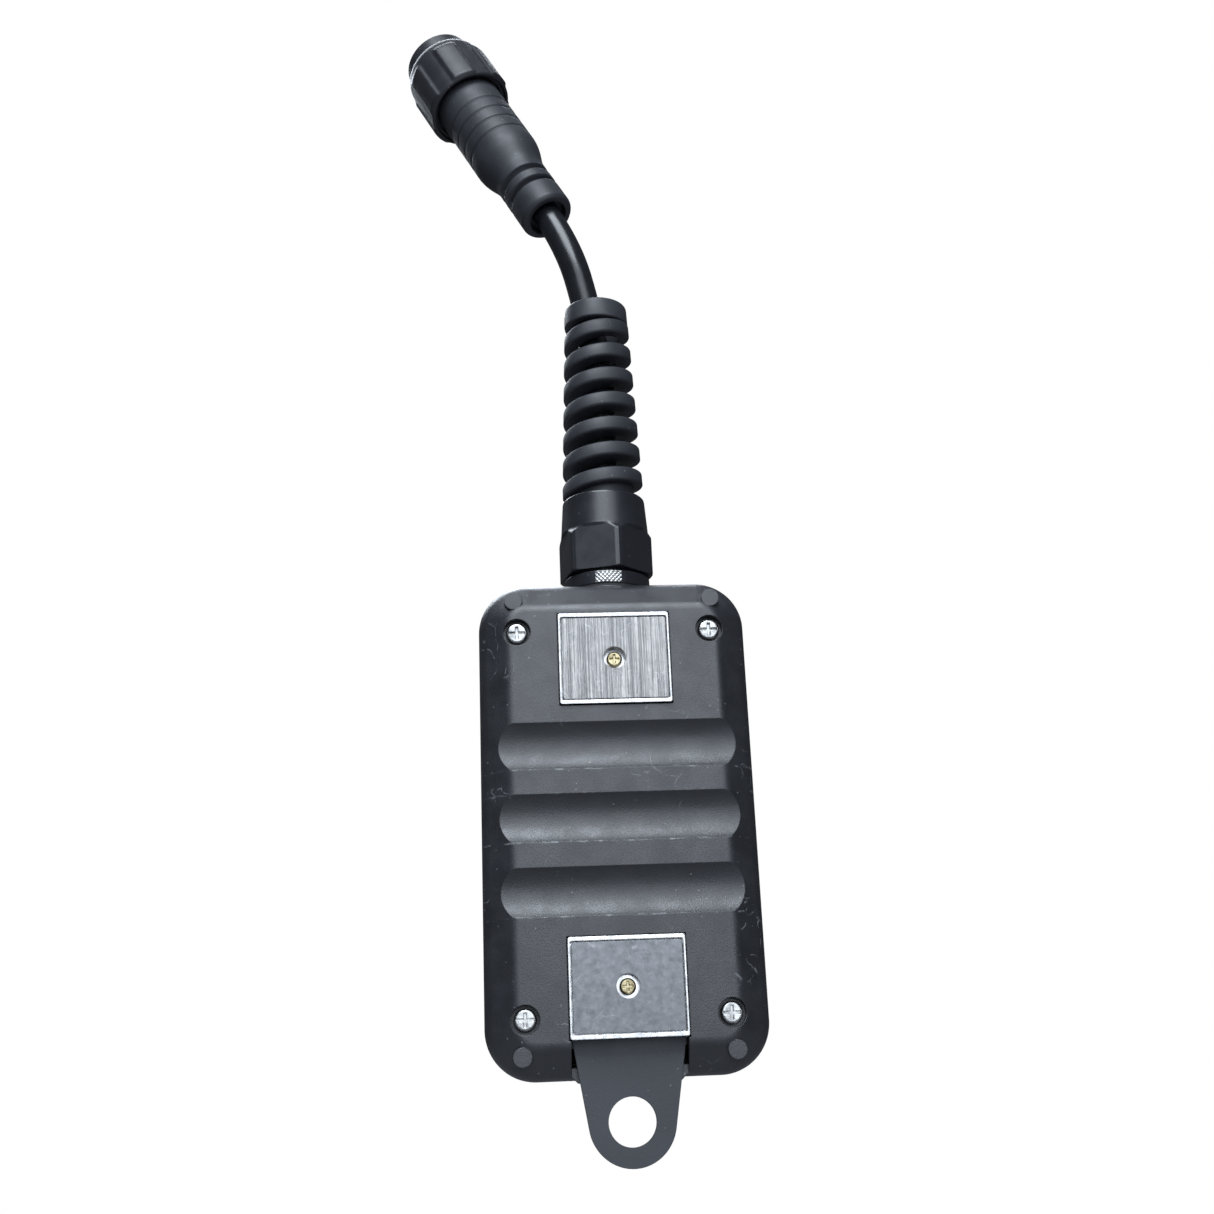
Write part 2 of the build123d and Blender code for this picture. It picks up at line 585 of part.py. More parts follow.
def cable_core(x):
    """One insulated core, from the sheath's end behind the board to its terminal."""
    side = 1 if x > 0 else -1
    outer = abs(x) > min(abs(v) for v in CORE_XS)
    start_depth = GLAND_DEPTH + (-1.5 if outer else 1.5)
    bend_z = THREAD_END_Z - (2.4 if outer else 5.0)
    end_depth = BOARD_DEPTH - TERMINAL_TALL / 2
    top = TERMINAL_Z + TERMINAL_HEIGHT / 2
    spots = [(1.5 * side, start_depth, THREAD_END_Z), (1.5 * side, start_depth, bend_z),
             (x, end_depth, bend_z - 0.9), (x, end_depth, top)]
    points = [(px, BACK_Y - depth, MIDDLE_Z + z) for px, depth, z in spots]
    path = FilletPolyline(*points, radius=1.6)
    section = Plane(origin=path @ 0, z_dir=path % 0) * Circle(CORE_R)
    return sweep(section, path=path)


# ---- plug ---------------------------------------------------------------------------------
def plug_boot():
    """Moulded boot: entry recess, slotted tail, shoulder and grip barrel."""
    outline = [(0, BOOT_ENTRY_SINK), (BOOT_ENTRY_R, BOOT_ENTRY_SINK), (BOOT_ENTRY_R, 0),
               (BOOT_TAIL_R - 0.9, 0), (BOOT_TAIL_R, 1.2), (BOOT_TAIL_R, BOOT_TAIL_H),
               (BOOT_BARREL_R - 0.5, BOOT_TAIL_H + 6), (BOOT_BARREL_R, BOOT_TAIL_H + 9),
               (BOOT_BARREL_R, BOOT_LENGTH), (0, BOOT_LENGTH)]
    boot = turned(outline)
    for h in (9.0, 14.6):
        ring = tube(BOOT_TAIL_R - 2.4, BOOT_TAIL_R + 1, h, h + BOOT_SLOT_W)
        for side in (0, 180):
            keep = Rot(0, 0, side) * Pos(BOOT_TAIL_R, 0, h) * Box(2 * BOOT_TAIL_R - 2.4, 4 * BOOT_TAIL_R, 10)
            boot -= ring & keep
    for k in range(4):
        h = 34.0 + 5.2 * k
        boot -= tube(BOOT_BARREL_R - 0.6, BOOT_BARREL_R + 1, h, h + 0.7)
    return plug_place() * boot


def plug_shell():
    """Contact carrier housing with a retaining flange behind and an open nose in front."""
    flange = BOOT_LENGTH + 0.2
    outline = [(0, BOOT_LENGTH), (PLUG_SHELL_R - 0.6, BOOT_LENGTH), (PLUG_SHELL_R - 0.6, flange),
               (PLUG_FLANGE_R, flange), (PLUG_FLANGE_R, flange + 2.4),
               (PLUG_NECK_R, flange + 2.4), (PLUG_NECK_R, COUPLING_END + 0.5),
               (PLUG_SHELL_R, COUPLING_END + 0.5), (PLUG_SHELL_R, PLUG_LENGTH - 1),
               (PLUG_SHELL_R - 1, PLUG_LENGTH), (PLUG_SOCKET_R, PLUG_LENGTH), (PLUG_SOCKET_R, BOOT_LENGTH + 5),
               (0, BOOT_LENGTH + 5)]
    return plug_place() * turned(outline)


def coupling_nut():
    """Free-turning ring with broad grip lobes, open at the back round the boot."""
    start, end = COUPLING_START, COUPLING_END
    flange = BOOT_LENGTH + 0.2
    ring = turned([(BOOT_BARREL_R + 1.7, start), (COUPLING_R - 1.1, start), (COUPLING_R - 0.7, start + 0.4),
                   (COUPLING_R - 0.7, end - 2), (COUPLING_R - 1.6, end), (PLUG_SHELL_R + 0.35, end),
                   (PLUG_SHELL_R + 0.35, flange + 2.75), (PLUG_FLANGE_R + 0.35, flange + 2.75),
                   (PLUG_FLANGE_R + 0.35, flange - 0.35), (BOOT_BARREL_R + 0.55, flange - 0.35),
                   (BOOT_BARREL_R + 0.55, start + 1.2), (BOOT_BARREL_R + 1.7, start + 1.2)])
    lobe_ring = turned([(COUPLING_R - 1.4, start + 0.4), (COUPLING_R, start + 0.9), (COUPLING_R, end - 5),
                        (COUPLING_R - 1.4, end - 2.5)])
    step = 360 / COUPLING_LOBES
    width = 2 * COUPLING_R * math.sin(math.radians(step * 0.3))
    for k in range(COUPLING_LOBES):
        wedge = Rot(0, 0, step * k) * Pos(COUPLING_R, 0, (start + end) / 2) * Box(8, width, end - start)
        ring += lobe_ring & wedge
    return plug_place() * ring


def contact_places():
    step = 2 * math.pi / CONTACT_COUNT
    return [(CONTACT_RING_R * math.cos(k * step), CONTACT_RING_R * math.sin(k * step))
            for k in range(CONTACT_COUNT)]


def contact_insert():
    start, end = BOOT_LENGTH + 5, PLUG_LENGTH - 7
    insert = rod(PLUG_SOCKET_R - 0.05, start, end)
    for x, y in contact_places():
        insert -= Pos(x, y) * rod(CONTACT_R, start + 3, end + 1)
    return plug_place() * insert


def contact_pins():
    start, end = BOOT_LENGTH + 8, PLUG_LENGTH - 2.5
    return group(plug_place() * Pos(x, y) * rod(CONTACT_R, start, end) for x, y in contact_places())


def plug_seal():
    start = PLUG_LENGTH - 7
    return plug_place() * tube(PLUG_SOCKET_R - 1.4, PLUG_SOCKET_R - 0.05, start, start + 1.4)


# ---- push buttons -------------------------------------------------------------------------
def button_bezel(x, z):
    """Flanged barrel with a guide floor for the stem."""
    floor = -BARREL_FLOOR_SINK
    top, end = SEAL_H + BEZEL_H, floor - BARREL_FLOOR_H
    bore, guide = CAP_R + CAP_GAP, STEM_R + RUNNING
    outline = [(bore, floor), (bore, top), (BEZEL_R - 0.7, top), (BEZEL_R, top - 0.7), (BEZEL_R, SEAL_H),
               (BARREL_R, SEAL_H), (BARREL_R, end), (guide, end), (guide, floor)]
    return panel_place(x, z) * turned(outline)


def button_cap(x, z):
    """Cap, stem and snap collar in one moulding."""
    top, under = SEAL_H + BEZEL_H + CAP_PROUD, SEAL_H
    floor_end = -BARREL_FLOOR_SINK - BARREL_FLOOR_H
    collar = floor_end - STOP_GAP
    outline = [(0, collar - 3.4), (STEM_R, collar - 3.4), (STEM_R, collar - 1.2), (STEM_R + 1, collar - 1.2),
               (STEM_R + 1, collar), (STEM_R, collar), (STEM_R, under), (CAP_R, under), (CAP_R, top - 1),
               (CAP_R - 1, top - 0.2), (CAP_R - 2.4, top), (0, top + 0.2)]
    return panel_place(x, z) * turned(outline)


def button_spring(x, z):
    return panel_place(x, z) * coil_spring(4.9, SPRING_WIRE_R, -BARREL_FLOOR_SINK, SEAL_H, 4.5)


def button_seal(x, z):
    return panel_place(x, z) * tube(BARREL_R + PANEL_GAP, BEZEL_R - 0.2, 0, SEAL_H)


def button_nut(x, z):
    ring = hexagon_ring(BUTTON_NUT_FLATS, BARREL_R, -PLATE_SKIN - BUTTON_NUT_H, -PLATE_SKIN)
    return panel_place(x, z) * ring


def contact_block(x, z, width, height, start, pocket_r, pocket_h):
    """Switch block between a barrel and the board, hollow where the stem works."""
    end = BOARD_FRONT - FRONT_DEPTH + 0.1
    block = Pos(0, 0, (start + end) / 2) * Box(width, height, start - end)
    return panel_place(x, z) * (block - rod(pocket_r, start - pocket_h, start + 1))


# ---- emergency stop -----------------------------------------------------------------------
STOP_FLOOR = -8.0
STOP_FLOOR_H = 3.0
STOP_BARREL_END = -14.0
STOP_FACE = SEAL_H + STOP_FLANGE_H
STOP_HEAD_UNDER = STOP_FACE + STOP_TRAVEL + 0.4


def stop_plate():
    return panel_place(0, STOP_Z) * tube(STOP_BARREL_R + PANEL_GAP, STOP_PLATE_R, 0, SEAL_H)


def stop_body():
    guide, under = STOP_SHAFT_R + RUNNING, STOP_FLOOR - STOP_FLOOR_H
    outline = [(STOP_BORE_R, STOP_FLOOR), (STOP_BORE_R, STOP_FACE), (STOP_FLANGE_R - 1.2, STOP_FACE),
               (STOP_FLANGE_R, STOP_FACE - 1.2), (STOP_FLANGE_R, SEAL_H), (STOP_BARREL_R, SEAL_H),
               (STOP_BARREL_R, STOP_BARREL_END), (STOP_BORE_R, STOP_BARREL_END), (STOP_BORE_R, under),
               (guide, under), (guide, STOP_FLOOR)]
    return panel_place(0, STOP_Z) * turned(outline)


def stop_plunger():
    """Shaft with a neck that presses the spring, and a snap collar under the floor."""
    collar = STOP_FLOOR - STOP_FLOOR_H - STOP_GAP
    neck, neck_top = STOP_FLOOR + STOP_SPRING_H, STOP_HEAD_UNDER - RUNNING
    outline = [(0, collar - 5), (STOP_SHAFT_R, collar - 5), (STOP_SHAFT_R, collar - 1.4),
               (STOP_SHAFT_R + 2, collar - 1.4), (STOP_SHAFT_R + 2, collar), (STOP_SHAFT_R, collar),
               (STOP_SHAFT_R, neck), (STOP_NECK_R, neck), (STOP_NECK_R, neck_top), (STOP_SHAFT_R, neck_top),
               (STOP_SHAFT_R, STOP_HEAD_UNDER + 2), (0, STOP_HEAD_UNDER + 2)]
    return panel_place(0, STOP_Z) * turned(outline)


def stop_head():
    """Mushroom head with finger scallops, turning on the plunger."""
    under, top = STOP_HEAD_UNDER, STOP_HEAD_UNDER + STOP_HEAD_H
    bore, bore_top = STOP_SHAFT_R + RUNNING, under + 2 + STOP_GAP
    head = turned([(bore, under), (STOP_HEAD_R - 0.8, under), (STOP_HEAD_R, under + 0.8), (STOP_HEAD_R, under + 3), (STOP_HEAD_R - 1.3, under + 5),
                   (STOP_HEAD_R - 4, top - 1.1), (STOP_HEAD_R - 9, top - 0.2), (0, top), (0, bore_top),
                   (bore, bore_top)])
    for k in range(12):
        scallop = Pos(STOP_HEAD_R + 1.4, 0) * rod(2.2, under - 1, top + 1)
        head -= Rot(0, 0, 30 * k + 15) * scallop
    return panel_place(0, STOP_Z) * head


def stop_spring():
    return panel_place(0, STOP_Z) * coil_spring(6.4, 0.6, STOP_FLOOR, STOP_FLOOR + STOP_SPRING_H, 4)


def stop_nut():
    ring = hexagon_ring(STOP_NUT_FLATS, STOP_BARREL_R, -PLATE_SKIN - STOP_NUT_H, -PLATE_SKIN)
    return panel_place(0, STOP_Z) * ring


# ---- lamps, board and terminals -----------------------------------------------------------
def lamp_lens(x):
    lens = turned([(0, -6), (LENS_R, -6), (LENS_R, 0), (LENS_R + 1, 0), (LENS_R + 1, 0.6),
                   (LENS_R - 0.3, 1.5), (LENS_R - 1.4, 2.0), (0, 2.2)])
    return panel_place(x, LAMP_Z) * lens


def lamp_led(x):
    end = BOARD_FRONT - FRONT_DEPTH
    legs = [Pos(s, 0) * rod(0.3, end, -10) for s in (-1.27, 1.27)]
    return panel_place(x, LAMP_Z) * (rod(LENS_R, -10.5, -6) + legs)


def spacer_places():
    return [(sx * SPACER_X, z) for sx in (-1, 1) for z in SPACER_ZS]


def circuit_board():
    outline = Pos(0, BOARD_Z) * RectangleRounded(BOARD_WIDTH, BOARD_LENGTH, 2)
    for x, z in spacer_places():
        outline -= Pos(x, z) * Circle(MAGNET_SCREW_R + SCREW_CLEARANCE)
    return slab(outline, BOARD_DEPTH, BOARD_FRONT)


def board_spacer(x, z):
    post = disc(x, z, SPACER_R, BOARD_FRONT, PLATE_BACK)
    return post - disc(x, z, MAGNET_SCREW_R, BOARD_FRONT - 1, BOARD_FRONT + 5)


def board_screw(x, z):
    head = disc(x, z, MAGNET_SCREW_HEAD_R, BOARD_DEPTH - MAGNET_SCREW_HEAD_H, BOARD_DEPTH)
    return head + disc(x, z, MAGNET_SCREW_R, BOARD_DEPTH, BOARD_FRONT + 4.6)


def terminal_block():
    top = BOARD_DEPTH - TERMINAL_TALL
    block = slab(Pos(0, TERMINAL_Z) * Rectangle(TERMINAL_WIDTH, TERMINAL_HEIGHT), top, BOARD_DEPTH)
    for x in CORE_XS:
        block -= disc(x, TERMINAL_Z, 1.5, top - 1, top + 1.2)
    return block


# ---- write every piece --------------------------------------------------------------------
save(rear_shell(), "rear_shell")
save(front_cover(), "front_cover")
save(case_gasket(), "case_gasket")
save(group(case_screw(x, z) for x, z in SCREW_PLACES), "case_screws")
save(group(cover_insert(x, z) for x, z in SCREW_PLACES), "cover_inserts")

for name, z, base in (("upper", MAGNET_Z_UP, POCKET_UP), ("lower", MAGNET_Z_LOW, POCKET_UP)):
    tab = TAB_THICK if name == "lower" else 0.0
    floor = base + tab + POCKET_FLOOR
    save(magnet_cup(z, base), name + "_magnet_cup")
    save(magnet_block(z, base), name + "_magnet")
    save(magnet_screw(z, base, floor), name + "_magnet_screw")
    save(magnet_insert(z, floor), name + "_magnet_insert")
save(hang_tab(), "hang_tab")

save(gland_body(), "gland_body")
save(gland_seal_ring(), "gland_seal_ring")
save(gland_locknut(), "gland_locknut")
save(gland_seal(), "gland_seal")
save(gland_claw(), "gland_claw")
save(gland_cap_nut(), "gland_cap_nut")
save(bend_guard(), "bend_guard")

save(cable(), "cable")
save(cable_tail(), "cable_tail")
save(group(cable_core(x) for x in CORE_XS), "cable_cores")
save(plug_boot(), "plug_boot")
save(plug_shell(), "plug_shell")
save(coupling_nut(), "coupling_nut")
save(contact_insert(), "contact_insert")
save(contact_pins(), "contact_pins")
save(plug_seal(), "plug_seal")

places = button_places()
for name, x, z in places:
    save(button_cap(x, z), name + "_button")
    save(button_spring(x, z), name + "_spring")
barrel_end = -BARREL_FLOOR_SINK - BARREL_FLOOR_H
save(group(button_bezel(x, z) for _, x, z in places), "button_bezels")
save(group(button_seal(x, z) for _, x, z in places), "button_seals")
save(group(button_nut(x, z) for _, x, z in places), "button_nuts")
save(group(contact_block(x, z, BLOCK_WIDTH, BLOCK_WIDTH, barrel_end, STEM_R + 1.6, 7.4)
           for _, x, z in places), "contact_blocks")

save(stop_plate(), "stop_plate")
save(stop_body(), "stop_body")
save(stop_plunger(), "stop_plunger")
save(stop_head(), "stop_head")
save(stop_spring(), "stop_spring")
save(stop_nut(), "stop_nut")
save(contact_block(0, STOP_Z, STOP_BLOCK_WIDTH, STOP_BLOCK_HEIGHT, STOP_BARREL_END, STOP_SHAFT_R + 3, 7.2),
     "stop_contact_block")

save(lamp_lens(-LAMP_X), "power_lamp_lens")
save(lamp_lens(LAMP_X), "fault_lamp_lens")
save(group(lamp_led(x) for x in (-LAMP_X, LAMP_X)), "lamp_leds")
save(circuit_board(), "circuit_board")
save(group(board_spacer(x, z) for x, z in spacer_places()), "board_spacers")
save(group(board_screw(x, z) for x, z in spacer_places()), "board_screws")
save(terminal_block(), "terminal_block")
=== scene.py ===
"""Pendant control station: a grooved case held by two magnets, a cable gland with a spiral bend guard and a
short cable to an inline plug.  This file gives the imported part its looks.  Lengths are metres."""

import json

import bpy
import numpy as np
from bpy.props import FloatProperty, FloatVectorProperty, PointerProperty
from mathutils import Matrix, Vector


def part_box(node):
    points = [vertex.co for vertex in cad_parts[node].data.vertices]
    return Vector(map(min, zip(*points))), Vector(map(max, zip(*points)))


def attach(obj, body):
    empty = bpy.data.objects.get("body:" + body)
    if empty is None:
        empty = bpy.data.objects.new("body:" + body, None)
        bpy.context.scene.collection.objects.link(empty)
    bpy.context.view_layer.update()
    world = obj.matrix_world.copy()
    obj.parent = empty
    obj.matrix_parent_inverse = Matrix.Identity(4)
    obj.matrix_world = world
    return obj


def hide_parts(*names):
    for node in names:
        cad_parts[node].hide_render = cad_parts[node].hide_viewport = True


bl_info = {
    "name": "Pendant Control Station",
    "version": (1, 0, 0),
    "blender": (4, 5, 0),
    "location": "3D View > Sidebar > Pendant",
    "description": "Finishes and detail pieces of a hand-held pendant control station",
    "category": "Object",
}

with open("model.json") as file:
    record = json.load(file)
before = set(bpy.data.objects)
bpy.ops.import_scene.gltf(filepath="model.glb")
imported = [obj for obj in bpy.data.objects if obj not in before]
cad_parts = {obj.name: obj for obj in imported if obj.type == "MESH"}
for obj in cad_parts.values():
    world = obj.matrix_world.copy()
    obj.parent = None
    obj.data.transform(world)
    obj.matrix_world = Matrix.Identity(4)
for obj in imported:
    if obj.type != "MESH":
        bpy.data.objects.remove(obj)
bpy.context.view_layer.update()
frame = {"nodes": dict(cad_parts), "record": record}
MM = 0.001


# ---- sizes and colours that a user may change ---------------------------------------------------
def length_prop(name, words, value):
    """A length in metres."""
    return FloatProperty(name=name, description=words, default=value, min=0.0, unit="LENGTH", precision=5)


def colour_prop(name, words, value):
    """A linear red, green and blue colour."""
    return FloatVectorProperty(name=name, description=words, default=value, min=0.0, max=1.0, size=3,
                               subtype="COLOR")


def share_prop(name, words, value):
    """A share from 0 to 1."""
    return FloatProperty(name=name, description=words, default=value, min=0.0, max=1.0, subtype="FACTOR")


class PendantColours(bpy.types.PropertyGroup):
    """Colours of the moulded, rubber and metal parts."""
    case: colour_prop("Case", "Moulded shell and cover", (0.017, 0.018, 0.022))
    scuff: colour_prop("Scuff", "Pale marks left on dark plastic", (0.34, 0.36, 0.38))
    dust: colour_prop("Dust", "Specks of dust", (0.30, 0.31, 0.32))
    tab: colour_prop("Tab", "Rubber hang tab", (0.050, 0.054, 0.062))
    gland: colour_prop("Gland", "Nylon gland and its cap nut", (0.016, 0.017, 0.021))
    guard: colour_prop("Guard", "Spiral bend guard", (0.030, 0.032, 0.038))
    sheath: colour_prop("Sheath", "Outer sheath of the cable", (0.011, 0.012, 0.015))
    boot: colour_prop("Boot", "Rubber boot of the plug", (0.027, 0.029, 0.035))
    plug: colour_prop("Plug", "Plug shell and coupling nut", (0.020, 0.021, 0.025))
    stop: colour_prop("Stop", "Emergency stop head", (0.52, 0.018, 0.014))
    plate: colour_prop("Plate", "Round plate behind the emergency stop", (0.78, 0.52, 0.02))


class PendantSizes(bpy.types.PropertyGroup):
    """Sizes of the pieces that are made here."""
    cord_diameter: length_prop("Cable Diameter", "Outside diameter of the cable", 0.0085)
    floor_radius: length_prop("Floor Radius", "Radius of the floor disc", 0.95)
    floor_level: FloatProperty(name="Floor Level", description="Height of the floor below the upper magnet",
                               default=-0.30, unit="LENGTH")
    lens: FloatProperty(name="Lens", description="Focal length of the camera in millimetres", default=44.48)
    grain: share_prop("Grain", "How strong the moulded grain is", 0.5)
    wear: share_prop("Wear", "How much the case is scuffed", 0.5)


# ---- shader node shorthand ----------------------------------------------------------------------
class Wiring:
    """Adds nodes to one tree and joins them: a socket given as an input is linked, anything else is set."""

    def __init__(self, tree):
        self.tree = tree

    def put(self, kind, inputs=None, **settings):
        node = self.tree.nodes.new(kind)
        for key, value in settings.items():
            setattr(node, key, value)
        for key, value in (inputs or {}).items():
            if isinstance(value, bpy.types.NodeSocket):
                self.tree.links.new(value, node.inputs[key])
            else:
                node.inputs[key].default_value = value
        return node

    def math(self, operation, a, b=0.0, c=0.0):
        return self.put("ShaderNodeMath", {0: a, 1: b, 2: c}, operation=operation).outputs[0]

    def times(self, a, b):
        return self.math("MULTIPLY", a, b)

    def blend(self, share, a, b):
        return self.put("ShaderNodeMix", {0: share, 6: a, 7: b}, data_type="RGBA").outputs[2]

    def between(self, value, low, high, start=0.0, end=1.0):
        """Turns low..high into start..end, smoothly and without passing either end."""
        node = self.put("ShaderNodeMapRange", {0: value, 1: low, 2: high, 3: start, 4: end},
                        interpolation_type="SMOOTHSTEP")
        return node.outputs[0]

    def noise(self, vector, scale, detail=2.0, rough=0.5, twist=0.0):
        node = self.put("ShaderNodeTexNoise", {"Vector": vector, "Scale": scale, "Detail": detail,
                                               "Roughness": rough, "Distortion": twist})
        return node.outputs[0]

    def cells(self, vector, scale, feature="F1"):
        return self.put("ShaderNodeTexVoronoi", {"Vector": vector, "Scale": scale}, feature=feature)

    def stretch(self, vector, scale, turn=(0.0, 0.0, 0.0)):
        node = self.put("ShaderNodeMapping", {"Vector": vector, "Scale": scale, "Rotation": turn})
        return node.outputs[0]

    def group(self, name, inputs):
        node = self.put("ShaderNodeGroup", node_tree=GROUPS[name])
        for key, value in inputs.items():
            if isinstance(value, bpy.types.NodeSocket):
                self.tree.links.new(value, node.inputs[key])
            else:
                node.inputs[key].default_value = value
        return node


GROUPS = {}
FINISHES = {}
FLOAT, COLOUR, VECTOR = "NodeSocketFloat", "NodeSocketColor", "NodeSocketVector"


def node_group(name, takes, gives, wire):
    """Makes a shader node group.  takes has (label, kind, value) rows, gives has (label, kind) rows, and
    wire returns what the group gives."""
    tree = bpy.data.node_groups.new(name, "ShaderNodeTree")
    for label, kind, value in takes:
        socket = tree.interface.new_socket(label, in_out="INPUT", socket_type=kind)
        if value is not None:
            socket.default_value = value
    for label, kind in gives:
        tree.interface.new_socket(label, in_out="OUTPUT", socket_type=kind)
    w = Wiring(tree)
    start, end = tree.nodes.new("NodeGroupInput"), tree.nodes.new("NodeGroupOutput")
    for label, socket in wire(w, start.outputs).items():
        tree.links.new(socket, end.inputs[label])
    GROUPS[name] = tree


def wire_grain(w, i):
    """Fine moulded texture: two sizes of noise with small round pits, times the relief."""
    broad = w.noise(i["Vector"], i["Scale"], 3.0, 0.6)
    pits = w.between(w.cells(i["Vector"], w.times(i["Scale"], 1.7)).outputs["Distance"], 0.05, 0.45)
    return {"Height": w.times(w.math("ADD", broad, w.times(pits, 0.35)), i["Relief"])}


def wire_scuffs(w, i):
    """Short curved scratches: thin lines between cells, kept only where a broad noise is high, and each one
    broken by a finer noise."""
    wander = w.put("ShaderNodeTexNoise", {"Vector": i["Vector"], "Scale": 90.0}).outputs[1]
    nudge = w.put("ShaderNodeVectorMath", {0: wander, 1: (0.02, 0.02, 0.02)}, operation="MULTIPLY")
    bent = w.put("ShaderNodeVectorMath", {0: i["Vector"], 1: nudge.outputs[0]}).outputs[0]
    edge = w.cells(bent, i["Scale"], "DISTANCE_TO_EDGE").outputs["Distance"]
    line = w.between(edge, 0.0, 0.022, 1.0, 0.0)
    where = w.between(w.noise(i["Vector"], w.times(i["Scale"], 0.45), 2.0), i["Rare"],
                      w.math("ADD", i["Rare"], 0.07))
    broken = w.between(w.noise(i["Vector"], w.times(i["Scale"], 6.0), 2.0), 0.42, 0.60)
    mask = w.times(w.times(line, where), w.times(broken, i["Amount"]))
    return {"Color": w.blend(mask, i["Color"], i["Scuff"]), "Mask": mask}


def wire_dust(w, i):
    """Specks: small discs at cell centres, kept for the few cells whose random shade is high."""
    cells = w.cells(i["Vector"], i["Scale"])
    disc = w.between(cells.outputs["Distance"], 0.06, 0.16, 1.0, 0.0)
    shade = w.put("ShaderNodeSeparateColor", {0: cells.outputs["Color"]}).outputs[0]
    mask = w.times(w.times(disc, w.between(shade, i["Rare"], w.math("ADD", i["Rare"], 0.05))), i["Amount"])
    return {"Color": w.blend(mask, i["Color"], i["Dust"]), "Mask": mask}


def wire_gloss(w, i):
    """Roughness that drifts between two values over patches and fine streaks."""
    patch = w.noise(i["Vector"], i["Scale"], 4.0, 0.6)
    return {"Roughness": w.between(patch, 0.32, 0.68, i["Low"], i["High"])}


def wire_ground(w, i):
    """Ground metal: noise drawn out a hundredfold along one axis, as grinding leaves it."""
    lines = w.noise(w.stretch(i["Vector"], (1.0, 1.0, 0.012)), i["Scale"], 4.0, 0.75)
    return {"Height": w.times(lines, i["Relief"]), "Mask": w.between(lines, 0.35, 0.65)}


def wire_worn_line(w, i):
    """A worn edge that runs level across the case: full at the given height, fading either side of it, and
    broken into dashes by noise."""
    height = w.put("ShaderNodeSeparateXYZ", {0: i["Vector"]}).outputs[2]
    away = w.math("ABSOLUTE", w.math("SUBTRACT", height, i["Level"]))
    line = w.between(away, 0.0, i["Width"], 1.0, 0.0)
    dashes = w.between(w.noise(w.stretch(i["Vector"], (1.0, 1.0, 3.0)), 260.0, 4.0, 0.7), 0.50, 0.66)
    return {"Mask": w.times(w.times(line, dashes), i["Amount"])}


def make_groups():
    """Builds each shared effect once."""
    place, scale = ("Vector", VECTOR, None), ("Scale", FLOAT, 1000.0)
    amount, rare = ("Amount", FLOAT, 1.0), ("Rare", FLOAT, 0.6)
    height, mask, colour = ("Height", FLOAT), ("Mask", FLOAT), ("Color", COLOUR)
    grey = (0.1, 0.1, 0.1, 1.0)
    node_group("moulded_grain", [place, scale, ("Relief", FLOAT, 1.0)], [height], wire_grain)
    node_group("scuffs", [place, ("Color", COLOUR, grey), ("Scuff", COLOUR, grey), scale, amount, rare],
               [colour, mask], wire_scuffs)
    node_group("dust", [place, ("Color", COLOUR, grey), ("Dust", COLOUR, grey), scale, amount, rare],
               [colour, mask], wire_dust)
    node_group("uneven_gloss", [place, scale, ("Low", FLOAT, 0.4), ("High", FLOAT, 0.5)],
               [("Roughness", FLOAT)], wire_gloss)
    node_group("ground_lines", [place, scale, ("Relief", FLOAT, 1.0)], [height, mask], wire_ground)
    node_group("worn_line", [place, ("Level", FLOAT, 0.0), ("Width", FLOAT, 0.0005), amount], [mask],
               wire_worn_line)


# ---- materials ----------------------------------------------------------------------------------
def rgba(colour):
    return (*colour[:3], 1.0)


def new_material(name):
    """An empty material with its own shader: returns the material, its wiring, the shader and the place."""
    material = bpy.data.materials.new(name)
    material.use_nodes = True
    tree = material.node_tree
    tree.nodes.clear()
    w = Wiring(tree)
    shader = w.put("ShaderNodeBsdfPrincipled")
    out = w.put("ShaderNodeOutputMaterial")
    tree.links.new(shader.outputs[0], out.inputs[0])
    place = w.put("ShaderNodeTexCoord").outputs["Object"]
    return material, w, shader, place


def bump(w, shader, height, distance, strength=1.0, edge=0.0003):
    """Feeds a height, in metres once times the distance, to the shader's normal, over edges that are
    rounded by edge."""
    eased = w.put("ShaderNodeBevel", {"Radius": edge}, samples=4).outputs[0]
    node = w.put("ShaderNodeBump", {"Strength": strength, "Distance": distance, "Height": height,
                                    "Normal": eased})
    w.tree.links.new(node.outputs[0], shader.inputs["Normal"])


